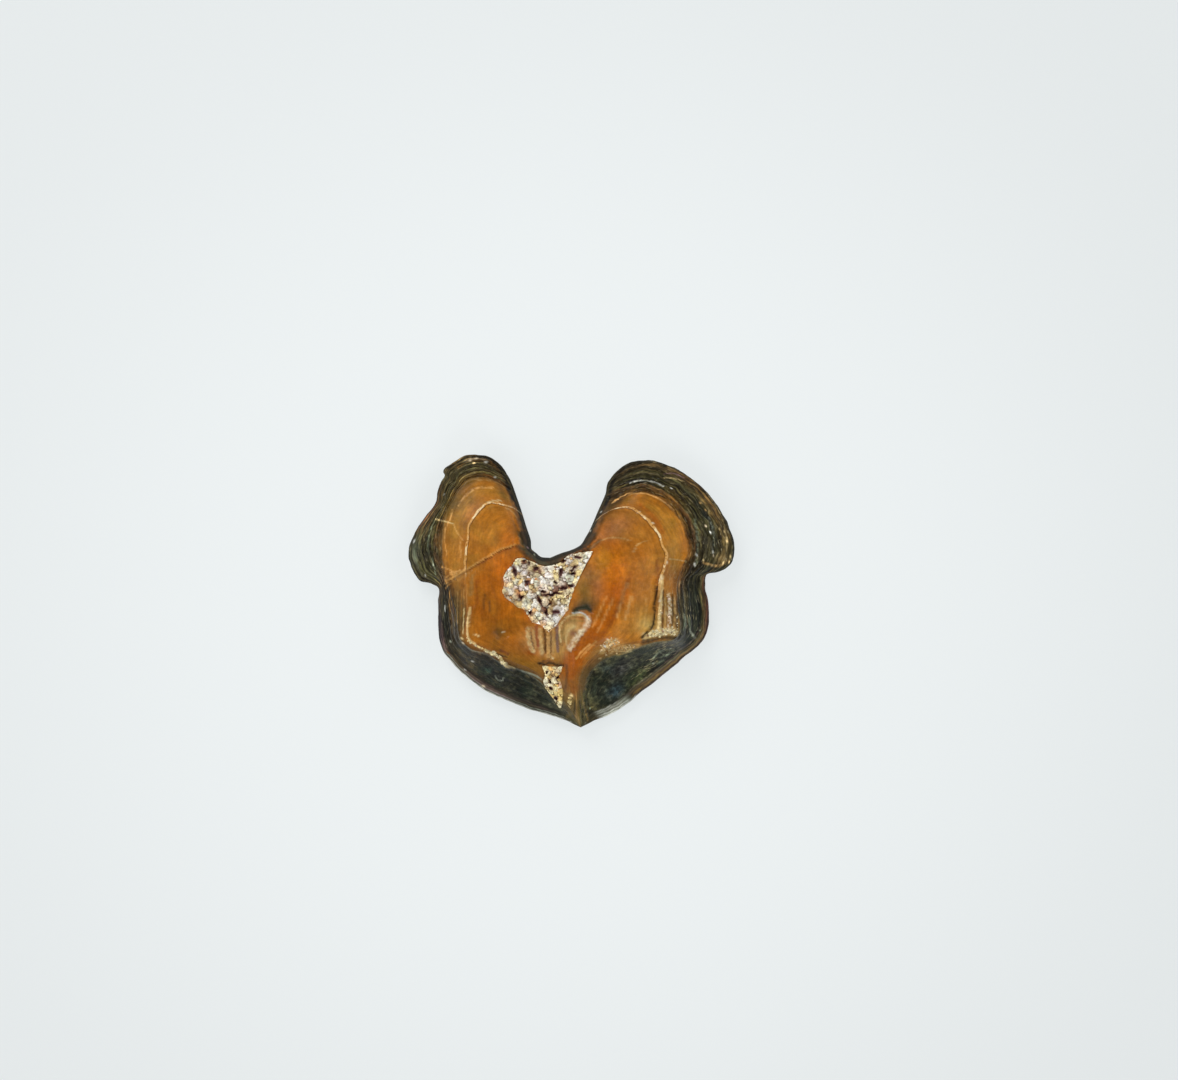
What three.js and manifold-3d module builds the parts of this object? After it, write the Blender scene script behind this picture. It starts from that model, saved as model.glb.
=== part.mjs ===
// A small fossil tooth, lying flat. It is a heart-shaped plate that grew outwards from its tip in
// nested bands: an orange-brown heart, a pale growth line round it, and dark terraces outside that
// step down to a thin rim. Two rounded lobes stand either side of a notch, and a keel runs up the
// middle from the tip. Sandy matrix still fills the hollow below the notch and a seam beside the keel.
//
// Millimetres, +Z up. The origin is in the middle of the footprint, on the surface it rests on.
// +Y points from the tip to the lobes.

import * as THREE from 'three';
import { mergeVertices } from 'three/addons/utils/BufferGeometryUtils.js';
import Module from 'manifold-3d';

const wasm = await Module();
wasm.setup();
const { clamp, lerp, smoothstep } = THREE.MathUtils;

// ---- Driving dimensions --------------------------------------------------------------------------

const WIDTH = 10.7; // across both lobes
const LENGTH = 8.95; // from the left lobe's top to the tip
const RIM_THICKNESS = 0.28; // of the thin outer edge
const RIM_ROUND = { least: 0.14, most: 0.3 }; // how far in from the outline the top is rounded over
const FOOT = { x: 0.05, y: -0.9, halfWidth: 2.2, halfLength: 1.5 }; // flat patch that it rests on
const UNDERSIDE_RISE = 0.16; // how fast the underside lifts away outside that patch
const MATRIX_GAP = 0.045; // between the matrix and the wall of its hollow
const EDGE_SINK = 0.02; // how far below the plate the matrix meets its hollow's edge
const LUMP_HEIGHT = 0.06; // of the packed grains on top of the matrix

// The growth lines are numbered by v: 0 is the midline and 1 the outline. Rays cross them and are
// numbered by u: 0 is the edge of the notch and 1 the tip, where all growth lines meet.
const PALE_LINE = 0.5;
const HEART_LIMIT = 0.7;

// Each ledge is a growth line where the plate steps down by `drop` over a run of LEDGE_RUN in v.
const LEDGE_RUN = 0.012;
const LEDGES = [
  { v: PALE_LINE, drop: 0.05 },
  { v: HEART_LIMIT, drop: 0.08 },
  { v: 0.76, drop: 0.07 },
  { v: 0.82, drop: 0.06 },
  { v: 0.885, drop: 0.06 },
  { v: 0.945, drop: 0.05 },
];
const TREADS = [0, 0.12, 0.24, 0.36, 0.44, 0.6, 0.73, 0.79, 0.85, 0.915, 0.985, 1];
const GROWTH_LINES = [...TREADS, ...LEDGES.flatMap(({ v }) => [v, v + LEDGE_RUN])].sort((a, b) => a - b);

const RAYS = [
  0, 0.006, 0.015, 0.03, 0.048, 0.067, 0.086, 0.1, 0.115, 0.13, 0.145, 0.16, 0.17, 0.18, 0.2, 0.22,
  0.24, 0.27, 0.3, 0.33, 0.36, 0.385, 0.41, 0.435, 0.455, 0.472, 0.488, 0.503, 0.518, 0.54, 0.57, 0.6,
  0.63, 0.655, 0.675, 0.7, 0.73, 0.76, 0.79, 0.82, 0.85, 0.875, 0.9, 0.925, 0.95, 0.97, 0.987, 1,
];

// Guide curves, as rows of [u, x, y, height of the top]. The outline has no height of its own: it
// follows the rim. The notch edges are rows of [v, x, y] at u = 0.
const MIDLINE = [
  [0, -0.7, 1.09, 1], [0.2, -0.66, 0.66, 1.2], [0.4, -0.61, 0.14, 1.4], [0.55, -0.54, -0.35, 1.5],
  [0.67, -0.46, -0.94, 1.6], [0.77, -0.38, -1.6, 1.7], [0.85, -0.31, -2.19, 1.72],
  [0.91, -0.15, -2.81, 1.6], [0.955, 0.02, -3.4, 1.35], [0.985, 0.2, -3.99, 1], [1, 0.31, -4.47, 0.5],
];
const RIGHT = {
  side: 1,
  paleLine: [
    [0, 0.67, 2.14, 1], [0.06, 1.03, 2.45, 1.2], [0.13, 1.66, 2.71, 1.4], [0.2, 2.28, 2.58, 1.55],
    [0.27, 2.7, 2.11, 1.65], [0.34, 3.03, 1.58, 1.75], [0.42, 3.13, 1.06, 1.85],
    [0.5, 2.95, 0.4, 1.95], [0.6, 2.74, -0.58, 2.1], [0.655, 2.62, -1.17, 2.15],
    [0.7, 2.28, -1.52, 2.15], [0.77, 1.62, -1.7, 2.1], [0.83, 1.03, -1.89, 2],
    [0.87, 0.67, -2.16, 1.9], [0.91, 0.38, -2.55, 1.75], [0.95, 0.25, -3.11, 1.5],
    [0.98, 0.28, -3.76, 1.1], [1, 0.31, -4.47, 0.5],
  ],
  heartLimit: [
    [0, 1.03, 2.99, 0.9], [0.05, 1.56, 3.06, 1.05], [0.12, 2.25, 3.24, 1.15], [0.19, 2.87, 3.02, 1.2],
    [0.25, 3.33, 2.6, 1.25], [0.31, 3.66, 2.04, 1.3], [0.39, 3.79, 1.35, 1.35],
    [0.46, 3.62, 0.8, 1.4], [0.52, 3.46, 0.27, 1.5], [0.6, 3.48, -0.61, 1.65],
    [0.65, 3.52, -1.3, 1.8], [0.675, 3.36, -1.53, 1.85], [0.72, 2.74, -1.63, 1.9],
    [0.79, 1.75, -1.96, 1.8], [0.85, 1, -2.25, 1.65], [0.9, 0.54, -2.75, 1.5],
    [0.95, 0.38, -3.5, 1.15], [1, 0.31, -4.47, 0.5],
  ],
  outline: [
    [0, 1.2, 3.55], [0.03, 1.46, 3.89], [0.065, 1.92, 4.19], [0.1, 2.41, 4.28], [0.165, 3.3, 4.07],
    [0.24, 4.21, 3.48], [0.31, 4.87, 2.7], [0.365, 5.23, 2.01], [0.41, 5.36, 1.42],
    [0.45, 5.23, 0.86], [0.48, 4.87, 0.63], [0.508, 4.46, 0.55], [0.535, 4.41, 0.17],
    [0.57, 4.51, -0.35], [0.615, 4.54, -1.01], [0.665, 4.28, -1.66], [0.73, 3.56, -2.3],
    [0.815, 2.57, -3.07], [0.93, 1.33, -4.02], [0.975, 0.67, -4.3], [1, 0.31, -4.47],
  ],
  notchEdge: [
    [0, -0.7, 1.09], [0.08, -0.34, 1.24], [0.15, -0.02, 1.34], [0.22, 0.26, 1.47], [0.33, 0.48, 1.78],
    [0.5, 0.7, 2.2], [0.6, 0.87, 2.6], [0.7, 1.02, 2.93], [0.8, 1.13, 3.2], [0.9, 1.16, 3.39],
    [1, 1.2, 3.55],
  ],
};
const LEFT = {
  side: -1,
  paleLine: [
    [0, -1.62, 2.34, 1], [0.06, -1.89, 2.58, 1.2], [0.11, -2.25, 2.73, 1.35],
    [0.16, -2.64, 2.81, 1.45], [0.22, -3.03, 2.58, 1.55], [0.28, -3.3, 2.17, 1.65],
    [0.36, -3.39, 1.61, 1.75], [0.45, -3.43, 0.96, 1.85], [0.52, -3.39, 0.2, 1.95],
    [0.58, -3.34, -0.55, 2.05], [0.63, -3.38, -1.2, 2.1], [0.66, -3.33, -1.5, 2.1],
    [0.71, -2.93, -1.73, 2.05], [0.77, -2.41, -1.99, 1.95], [0.83, -1.85, -2.29, 1.85],
    [0.89, -1.2, -2.58, 1.7], [0.95, -0.48, -3.24, 1.45], [0.98, -0.08, -3.8, 1.1],
    [1, 0.31, -4.47, 0.5],
  ],
  heartLimit: [
    [0, -1.79, 3.06, 0.9], [0.04, -2.18, 3.39, 1], [0.08, -2.57, 3.63, 1.1], [0.12, -3, 3.71, 1.15],
    [0.16, -3.39, 3.58, 1.15], [0.2, -3.66, 3.32, 1.2], [0.24, -3.89, 2.96, 1.25],
    [0.3, -4.11, 2.4, 1.3], [0.38, -4.21, 1.75, 1.35], [0.45, -4.2, 1.02, 1.4],
    [0.49, -4.11, 0.53, 1.45], [0.54, -3.93, -0.02, 1.55], [0.6, -3.72, -0.78, 1.7],
    [0.65, -3.62, -1.5, 1.8], [0.69, -3.3, -1.83, 1.8], [0.75, -2.74, -2.01, 1.75],
    [0.8, -2.25, -2.32, 1.7], [0.86, -1.62, -2.55, 1.55], [0.92, -0.97, -2.98, 1.35],
    [0.97, -0.28, -3.76, 1], [1, 0.31, -4.47, 0.5],
  ],
  outline: [
    [0, -2.15, 3.91], [0.025, -2.38, 4.2], [0.055, -2.77, 4.4], [0.086, -3.2, 4.46],
    [0.115, -3.59, 4.39], [0.145, -3.98, 4.14], [0.16, -4.16, 4.01], [0.17, -4.21, 3.89],
    [0.18, -4.16, 3.78], [0.2, -4.28, 3.55], [0.217, -4.39, 3.29], [0.24, -4.43, 2.93],
    [0.29, -4.84, 2.37], [0.33, -5.16, 1.88], [0.362, -5.33, 1.42], [0.385, -5.36, 1.09],
    [0.41, -5.23, 0.73], [0.44, -4.97, 0.37], [0.468, -4.61, 0.27], [0.487, -4.38, 0.12],
    [0.515, -4.38, -0.29], [0.573, -4.39, -1.11], [0.62, -4.31, -1.76], [0.655, -4.08, -2.17],
    [0.7, -3.59, -2.68], [0.755, -3, -3.17], [0.82, -2.18, -3.57], [0.89, -1.2, -3.93],
    [0.95, -0.38, -4.17], [1, 0.31, -4.47],
  ],
  notchEdge: [
    [0, -0.7, 1.09], [0.09, -1, 1.12], [0.17, -1.16, 1.25], [0.25, -1.31, 1.37], [0.33, -1.34, 1.68],
    [0.41, -1.48, 2.11], [0.5, -1.59, 2.47], [0.6, -1.69, 2.78], [0.7, -1.79, 3.07],
    [0.8, -1.9, 3.39], [0.9, -2.02, 3.68], [1, -2.15, 3.91],
  ],
};
const NOTCH_REACH = 5; // how quickly the rays turn from the notch edge to the guides, per unit of u

// Relief that lies across the growth lines, each with a height and the width it fades over.
const KEEL = { from: [0.1, -1.95], to: [0.36, -4.35], height: 0.13, width: 0.2 };
const FOLD = { at: [0.22, -1.2], radius: 0.36, height: 0.12, width: 0.12 }; // a looped fold by the keel
const CRACK = { from: [-4.15, 0.37], to: [-1.69, 1.55], step: 0.08, fade: 1.1 }; // left wing, step down

// Outlines of the two patches of matrix, each star-shaped about its centre.
const HOLLOW = {
  name: 'matrix_fill',
  centre: [-0.77, 0.04],
  floor: 0.95,
  crown: 0.07,
  outline: [
    [-1.79, 1.09], [-1.56, 1.14], [-1.3, 1.02], [-1.03, 0.88], [-0.84, 0.82], [-0.61, 0.86],
    [-0.38, 0.98], [-0.18, 1.11], [0.04, 1.19], [0.3, 1.26], [0.54, 1.3], [0.7, 1.27], [0.61, 1.12],
    [0.51, 0.96], [0.41, 0.76], [0.28, 0.5], [0.18, 0.27], [0.08, 0.04], [0.02, -0.19],
    [-0.05, -0.39], [-0.08, -0.58], [-0.21, -0.75], [-0.34, -0.91], [-0.48, -1.11], [-0.61, -1.24],
    [-0.74, -1.37], [-0.84, -1.24], [-1, -1.07], [-1.26, -1.01], [-1.39, -0.81], [-1.56, -0.58],
    [-1.75, -0.52], [-1.95, -0.35], [-2.18, -0.19], [-2.25, 0.01], [-2.18, 0.24], [-2.21, 0.47],
    [-2.11, 0.66], [-1.95, 0.86],
  ],
};
const SEAM = {
  name: 'matrix_seam',
  centre: [-0.57, -2.98],
  floor: 1.0,
  crown: 0.05,
  outline: [
    [-0.97, -2.39], [-0.64, -2.39], [-0.28, -2.42], [-0.28, -2.52], [-0.38, -2.75], [-0.31, -3.04],
    [-0.25, -3.24], [-0.28, -3.57], [-0.34, -3.8], [-0.41, -3.86], [-0.54, -3.63], [-0.7, -3.37],
    [-0.87, -3.11], [-0.93, -2.91], [-0.87, -2.65],
  ],
};
const PATCH_RINGS = [0.25, 0.45, 0.63, 0.78, 0.9, 1]; // shares of the way from a centre to its outline
const POCKET_TOP = 3; // above everything, so that a pocket is cut right through the top

// ---- Materials -----------------------------------------------------------------------------------

const enamel = new THREE.MeshStandardMaterial({ color: 0x8f5a1e, roughness: 0.3, metalness: 0 });
const sandstone = new THREE.MeshStandardMaterial({ color: 0xd9ccae, roughness: 0.9, metalness: 0 });

// ---- Curves --------------------------------------------------------------------------------------

/** Smooth curve through rows of [station, ...values]: cubic Hermite, tangents from both neighbours. */
function along(rows, station) {
  const count = rows.length;
  const k = clamp(rows.findIndex((row) => row[0] > station) - 1, 0, count - 2);
  const i = station >= rows[count - 1][0] ? count - 2 : k;
  const slope = (a, axis) => (rows[a + 1][axis] - rows[a][axis]) / (rows[a + 1][0] - rows[a][0]);
  const tangent = (a, axis) => {
    if (a === 0) return slope(0, axis);
    if (a === count - 1) return slope(count - 2, axis);
    const share = (rows[a + 1][0] - rows[a][0]) / (rows[a + 1][0] - rows[a - 1][0]);
    return lerp(slope(a, axis), slope(a - 1, axis), share);
  };
  const h = rows[i + 1][0] - rows[i][0];
  const s = (station - rows[i][0]) / h;
  const blend = (axis) =>
    (2 * s ** 3 - 3 * s ** 2 + 1) * rows[i][axis] +
    (s ** 3 - 2 * s ** 2 + s) * h * tangent(i, axis) +
    (3 * s ** 2 - 2 * s ** 3) * rows[i + 1][axis] +
    (s ** 3 - s ** 2) * h * tangent(i + 1, axis);
  return rows[i].slice(1).map((_, axis) => blend(axis + 1));
}

/** Distance from a point to the segment a-b, and the share of the way along it of the foot. */
function toSegment([x, y], [ax, ay], [bx, by]) {
  const [dx, dy] = [bx - ax, by - ay];
  const share = ((x - ax) * dx + (y - ay) * dy) / (dx * dx + dy * dy);
  const foot = clamp(share, 0, 1);
  return { distance: Math.hypot(x - ax - foot * dx, y - ay - foot * dy), share };
}

// ---- The plate -----------------------------------------------------------------------------------

/** Guide point [x, y, height] of a wing at ray u and growth line v, before the fit to WIDTH. */
function guidePoint(wing, u, v) {
  const guides = [
    [0, MIDLINE],
    [PALE_LINE, wing.paleLine],
    [HEART_LIMIT, wing.heartLimit],
    [1, wing.outline],
  ];
  const k = guides.findLastIndex(([line], i) => line <= v && i < guides.length - 1);
  const [v0, inner] = guides[k];
  const [v1, outer] = guides[k + 1];
  const share = (v - v0) / (v1 - v0);
  const between = (station) => {
    const b = along(outer, station);
    return along(inner, station).map((value, axis) => lerp(value, b[axis] ?? value, share));
  };
  const point = between(u);
  const start = between(0);
  const edge = along(wing.notchEdge, v);
  const pull = Math.exp(-((u * NOTCH_REACH) ** 1.5));
  return [point[0] + (edge[0] - start[0]) * pull, point[1] + (edge[1] - start[1]) * pull, point[2]];
}

// The outline in order: down the right wing to the tip, up the left wing, round the notch.
const outline = [
  ...RAYS.map((u) => guidePoint(RIGHT, u, 1)),
  ...RAYS.toReversed().slice(1).map((u) => guidePoint(LEFT, u, 1)),
  ...GROWTH_LINES.toReversed().slice(1).map((v) => guidePoint(LEFT, 0, v)),
  ...GROWTH_LINES.slice(1, -1).map((v) => guidePoint(RIGHT, 0, v)),
].map(([x, y]) => new THREE.Vector2(x, y));
const reach = new THREE.Box2().setFromPoints(outline);
const middle = reach.getCenter(new THREE.Vector2());
const fit = new THREE.Vector2(WIDTH, LENGTH).divide(reach.getSize(new THREE.Vector2()));
for (const point of outline) point.sub(middle).multiply(fit);

/** Distance from a point of the plate to its outline. */
function toOutline(x, y) {
  const distances = outline.map((a, i) => {
    const b = outline[(i + 1) % outline.length];
    return toSegment([x, y], [a.x, a.y], [b.x, b.y]).distance;
  });
  return Math.min(...distances);
}

/** Height of the underside: flat on the foot, then lifting away from it. */
function underside(x, y) {
  const q = Math.hypot((x - FOOT.x) / FOOT.halfWidth, (y - FOOT.y) / FOOT.halfLength);
  return UNDERSIDE_RISE * Math.max(q - 1, 0) ** 1.5;
}

/** Height that the ledges add: each tread rises to the next ledge, then drops at it. */
function treads(u, v) {
  const next = LEDGES.findIndex((ledge) => v <= ledge.v + LEDGE_RUN);
  const fade = smoothstep(u, 0, 0.04) * (1 - smoothstep(u, 0.9, 0.985));
  if (next < 0) return 0;
  const { v: edge, drop } = LEDGES[next];
  const foot = next > 0 ? LEDGES[next - 1].v + LEDGE_RUN : edge - 0.2;
  const climb = clamp((v - foot) / (edge - foot), 0, 1);
  const fall = clamp((v - edge) / LEDGE_RUN, 0, 1);
  return drop * fade * (climb - fall);
}

/** Height of the keel, the looped fold and the crack's upper side at a point. */
function relief(x, y) {
  const keel = toSegment([x, y], KEEL.from, KEEL.to);
  const ring = Math.hypot(x - FOLD.at[0], y - FOLD.at[1]) - FOLD.radius;
  const crack = toSegment([x, y], CRACK.from, CRACK.to);
  const [dx, dy] = [CRACK.to[0] - CRACK.from[0], CRACK.to[1] - CRACK.from[1]];
  const above = dx * (y - CRACK.from[1]) - dy * (x - CRACK.from[0]) > 0;
  const ends = smoothstep(crack.share, -0.05, 0.2) * (1 - smoothstep(crack.share, 0.85, 1.1));
  return (
    KEEL.height * Math.exp(-((keel.distance / KEEL.width) ** 2)) +
    FOLD.height * Math.exp(-((ring / FOLD.width) ** 2)) +
    (above ? CRACK.step * ends * Math.exp(-crack.distance / CRACK.fade) : 0)
  );
}

/** Share of the full height at a distance d from the outline, for a round of radius r. */
const roundOver = (d, r) => Math.sqrt(1 - (1 - Math.min(d / r, 1)) ** 2);

/** Top and bottom points of the plate at ray u and growth line v. */
function platePoints(wing, u, v) {
  const [gx, gy, height] = guidePoint(wing, u, v);
  const x = (gx - middle.x) * fit.x;
  const y = (gy - middle.y) * fit.y;
  const onOutline = u === 0 || u === 1 || v === 1;
  const distance = onOutline ? 0 : toOutline(x, y);
  const base = underside(x, y);
  const rim = base + RIM_THICKNESS / 2;

  // Outside the heart the top falls from the heart's limit to the rim: rounded on the lobes, and
  // straighter on the facets either side of the tip.
  const bulge = lerp(0.75, 1.05, smoothstep(u, 0.4, 0.6));
  const inward = Math.min((1 - v) / (1 - HEART_LIMIT), 1) ** bulge;
  const limit = along(wing.heartLimit, u)[2];
  const smooth = v > HEART_LIMIT ? lerp(base + RIM_THICKNESS, limit, inward) : height;
  const top = smooth + treads(u, v) + relief(x, y);

  const round = clamp((top - rim) / 2, RIM_ROUND.least, RIM_ROUND.most);
  return {
    top: new THREE.Vector3(x, y, lerp(rim, top, roundOver(distance, round))),
    bottom: new THREE.Vector3(x, y, lerp(rim, base, roundOver(distance, RIM_ROUND.least))),
  };
}

/** Triangles of a grid of points, each quad cut along its shorter diagonal. */
function gridTriangles(grid, flip) {
  const triangles = [];
  for (let i = 0; i + 1 < grid.length; i++) {
    for (let j = 0; j + 1 < grid[i].length; j++) {
      const [a, b, c, d] = [grid[i][j], grid[i + 1][j], grid[i + 1][j + 1], grid[i][j + 1]];
      const short = a.distanceToSquared(c) < b.distanceToSquared(d);
      triangles.push(...(short ? [[a, b, c], [a, c, d]] : [[a, b, d], [b, c, d]]));
    }
  }
  return flip ? triangles.map((triangle) => triangle.toReversed()) : triangles;
}

/** Closed geometry from triangles of points: equal points are merged and empty triangles dropped. */
function closedGeometry(triangles) {
  const soup = new THREE.BufferGeometry().setFromPoints(triangles.flat());
  const merged = mergeVertices(soup, 1e-4);
  const index = merged.index.array;
  const kept = [];
  for (let t = 0; t < index.length; t += 3) {
    const [a, b, c] = index.subarray(t, t + 3);
    if (a !== b && b !== c && c !== a) kept.push(a, b, c);
  }
  return merged.setIndex(kept);
}

function plateGeometry() {
  const triangles = [RIGHT, LEFT].flatMap((wing) => {
    const points = GROWTH_LINES.map((v) => RAYS.map((u) => platePoints(wing, u, v)));
    const top = points.map((line) => line.map((point) => point.top));
    const bottom = points.map((line) => line.map((point) => point.bottom));
    return [...gridTriangles(top, wing.side > 0), ...gridTriangles(bottom, wing.side < 0)];
  });
  return closedGeometry(triangles);
}

// ---- Matrix --------------------------------------------------------------------------------------

/** Points of an outline moved outwards by `grow`. */
function grown(points, grow) {
  const ring = points.map(([x, y]) => new THREE.Vector2(x, y));
  const turn = Math.sign(THREE.ShapeUtils.area(ring));
  return ring.map((point, i) => {
    const before = ring.at(i - 1);
    const after = ring[(i + 1) % ring.length];
    const outward = new THREE.Vector2(after.y - before.y, before.x - after.x).setLength(turn * grow);
    return point.clone().add(outward);
  });
}

/** Closed solid over an outline, from a flat floor up to height(x, y, share out from the centre). */
function patchGeometry({ outline: edge, centre }, grow, floor, height) {
  const rim = grown(edge, grow);
  const hub = new THREE.Vector2(...centre);
  const closed = [...rim, rim[0]];
  const lift = (p, z) => new THREE.Vector3(p.x, p.y, z);
  const ring = (share) =>
    closed.map((p) => {
      const q = hub.clone().lerp(p, share);
      return lift(q, height(q.x, q.y, share));
    });
  const rings = [0, ...PATCH_RINGS].map(ring);
  const foot = closed.map((p) => lift(p, floor));
  const floorHub = closed.map(() => lift(hub, floor));
  const clockwise = THREE.ShapeUtils.area(rim) < 0;
  return closedGeometry(gridTriangles([...rings, foot, floorHub], clockwise));
}

/** Lumps of packed sand grains, between -1 and 1: crossed waves and a finer one. */
function lumps(x, y) {
  const crossed = Math.sin(9 * x + 4 * y) * Math.sin(8 * y - 5 * x);
  return (crossed + Math.sin(17 * x - 6 * y)) / 2;
}

const plate = new THREE.Mesh(plateGeometry(), enamel);
const probe = new THREE.Raycaster();
const down = new THREE.Vector3(0, 0, -1);

/** Height of the plate's top at a point. */
function plateTop(x, y) {
  probe.set(new THREE.Vector3(x, y, POCKET_TOP), down);
  return probe.intersectObject(plate)[0].point.z;
}

/** The matrix in one hollow: level with the plate at its edge, lumpy and slightly crowned inside. */
function matrixGeometry(patch) {
  return patchGeometry(patch, 0, patch.floor + MATRIX_GAP, (x, y, share) => {
    const inside = 1 - share ** 3;
    return plateTop(x, y) - EDGE_SINK + inside * (patch.crown + LUMP_HEIGHT * lumps(x, y));
  });
}

// ---- Booleans ------------------------------------------------------------------------------------

function toSolid(geometry) {
  const merged = mergeVertices(geometry.clone().deleteAttribute('normal').deleteAttribute('uv'), 1e-4);
  return new wasm.Manifold(
    new wasm.Mesh({
      numProp: 3,
      vertProperties: new Float32Array(merged.attributes.position.array),
      triVerts: new Uint32Array(merged.index.array),
    }),
  );
}

function toGeometry(solid) {
  const { vertProperties, triVerts } = solid.getMesh();
  const geometry = new THREE.BufferGeometry();
  geometry.setAttribute('position', new THREE.BufferAttribute(vertProperties, 3));
  geometry.setIndex(new THREE.BufferAttribute(triVerts, 1));
  return geometry;
}

/** The plate with a pocket for each patch of matrix. */
function toothGeometry(patches) {
  const toTop = () => POCKET_TOP;
  const pockets = patches.map((patch) => toSolid(patchGeometry(patch, MATRIX_GAP, patch.floor, toTop)));
  return toGeometry(pockets.reduce((solid, pocket) => solid.subtract(pocket), toSolid(plate.geometry)));
}

// ---- Assembly ------------------------------------------------------------------------------------

function named(name, geometry, material) {
  geometry.computeVertexNormals();
  const mesh = new THREE.Mesh(geometry, material);
  mesh.name = name;
  return mesh;
}

const patches = [HOLLOW, SEAM];
const group = new THREE.Group();
group.add(named('tooth', toothGeometry(patches), enamel));
for (const patch of patches) group.add(named(patch.name, matrixGeometry(patch), sandstone));

export default group;
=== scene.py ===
# %% [markdown]
# # Dressing a small fossil tooth
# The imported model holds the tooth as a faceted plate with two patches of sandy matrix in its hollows.
# This lesson gives it the finish of the real thing: a polished, stained enamel heart, dark growth
# terraces round it, and grains of sand packed in the hollows.
# We begin with the frame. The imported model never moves; everything we make is fitted to it.

import bpy
import numpy as np
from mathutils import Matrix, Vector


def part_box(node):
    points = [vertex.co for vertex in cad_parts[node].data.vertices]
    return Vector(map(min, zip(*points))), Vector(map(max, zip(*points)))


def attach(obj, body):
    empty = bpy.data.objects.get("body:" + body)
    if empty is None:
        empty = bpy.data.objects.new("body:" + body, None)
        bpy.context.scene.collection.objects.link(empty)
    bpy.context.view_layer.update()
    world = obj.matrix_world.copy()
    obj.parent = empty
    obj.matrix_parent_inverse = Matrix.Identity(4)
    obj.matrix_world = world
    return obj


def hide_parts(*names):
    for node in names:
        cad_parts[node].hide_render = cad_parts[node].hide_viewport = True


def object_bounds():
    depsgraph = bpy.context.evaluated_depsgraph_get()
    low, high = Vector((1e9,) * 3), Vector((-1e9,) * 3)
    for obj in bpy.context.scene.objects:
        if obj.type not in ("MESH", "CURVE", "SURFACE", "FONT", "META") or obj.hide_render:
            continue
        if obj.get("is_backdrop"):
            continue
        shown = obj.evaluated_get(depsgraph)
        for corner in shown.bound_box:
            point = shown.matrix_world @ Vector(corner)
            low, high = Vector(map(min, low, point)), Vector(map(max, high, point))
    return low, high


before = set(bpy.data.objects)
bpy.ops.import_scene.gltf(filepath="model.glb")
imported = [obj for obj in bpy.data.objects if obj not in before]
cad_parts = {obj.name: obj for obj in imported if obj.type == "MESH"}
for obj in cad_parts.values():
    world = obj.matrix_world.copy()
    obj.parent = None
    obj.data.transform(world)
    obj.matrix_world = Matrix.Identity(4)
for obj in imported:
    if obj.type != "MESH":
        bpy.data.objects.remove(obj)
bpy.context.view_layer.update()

MM = 0.001  # the shapes below are worked out in millimetres
tooth_low, tooth_high = (np.array(corner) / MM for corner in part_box("tooth"))
print("tooth, mm:", np.round(tooth_low, 2), "to", np.round(tooth_high, 2))

# %% [markdown]
# ## The growth of the plate
# The tooth grew outwards from its tip, line by line, as a shell does. So the natural way to describe
# it is by its growth lines, and not by slices or a sculpted lump. Each wing gets two numbers:
# *growth* runs from 0 on the midline to 1 on the outline, and *ray* from 0 at the notch to 1 at the
# tip. Four guide curves say where growth 0, 0.5, 0.7 and 1 lie, and everything is between them.

# %% Guide curves: rows of ray, x, y and height in mm; the outline and the notch edge have no height
PALE_LINE = 0.5  # growth at the bright line round the heart
HEART_LIMIT = 0.7  # growth where the orange heart ends and the dark terraces begin

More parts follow.
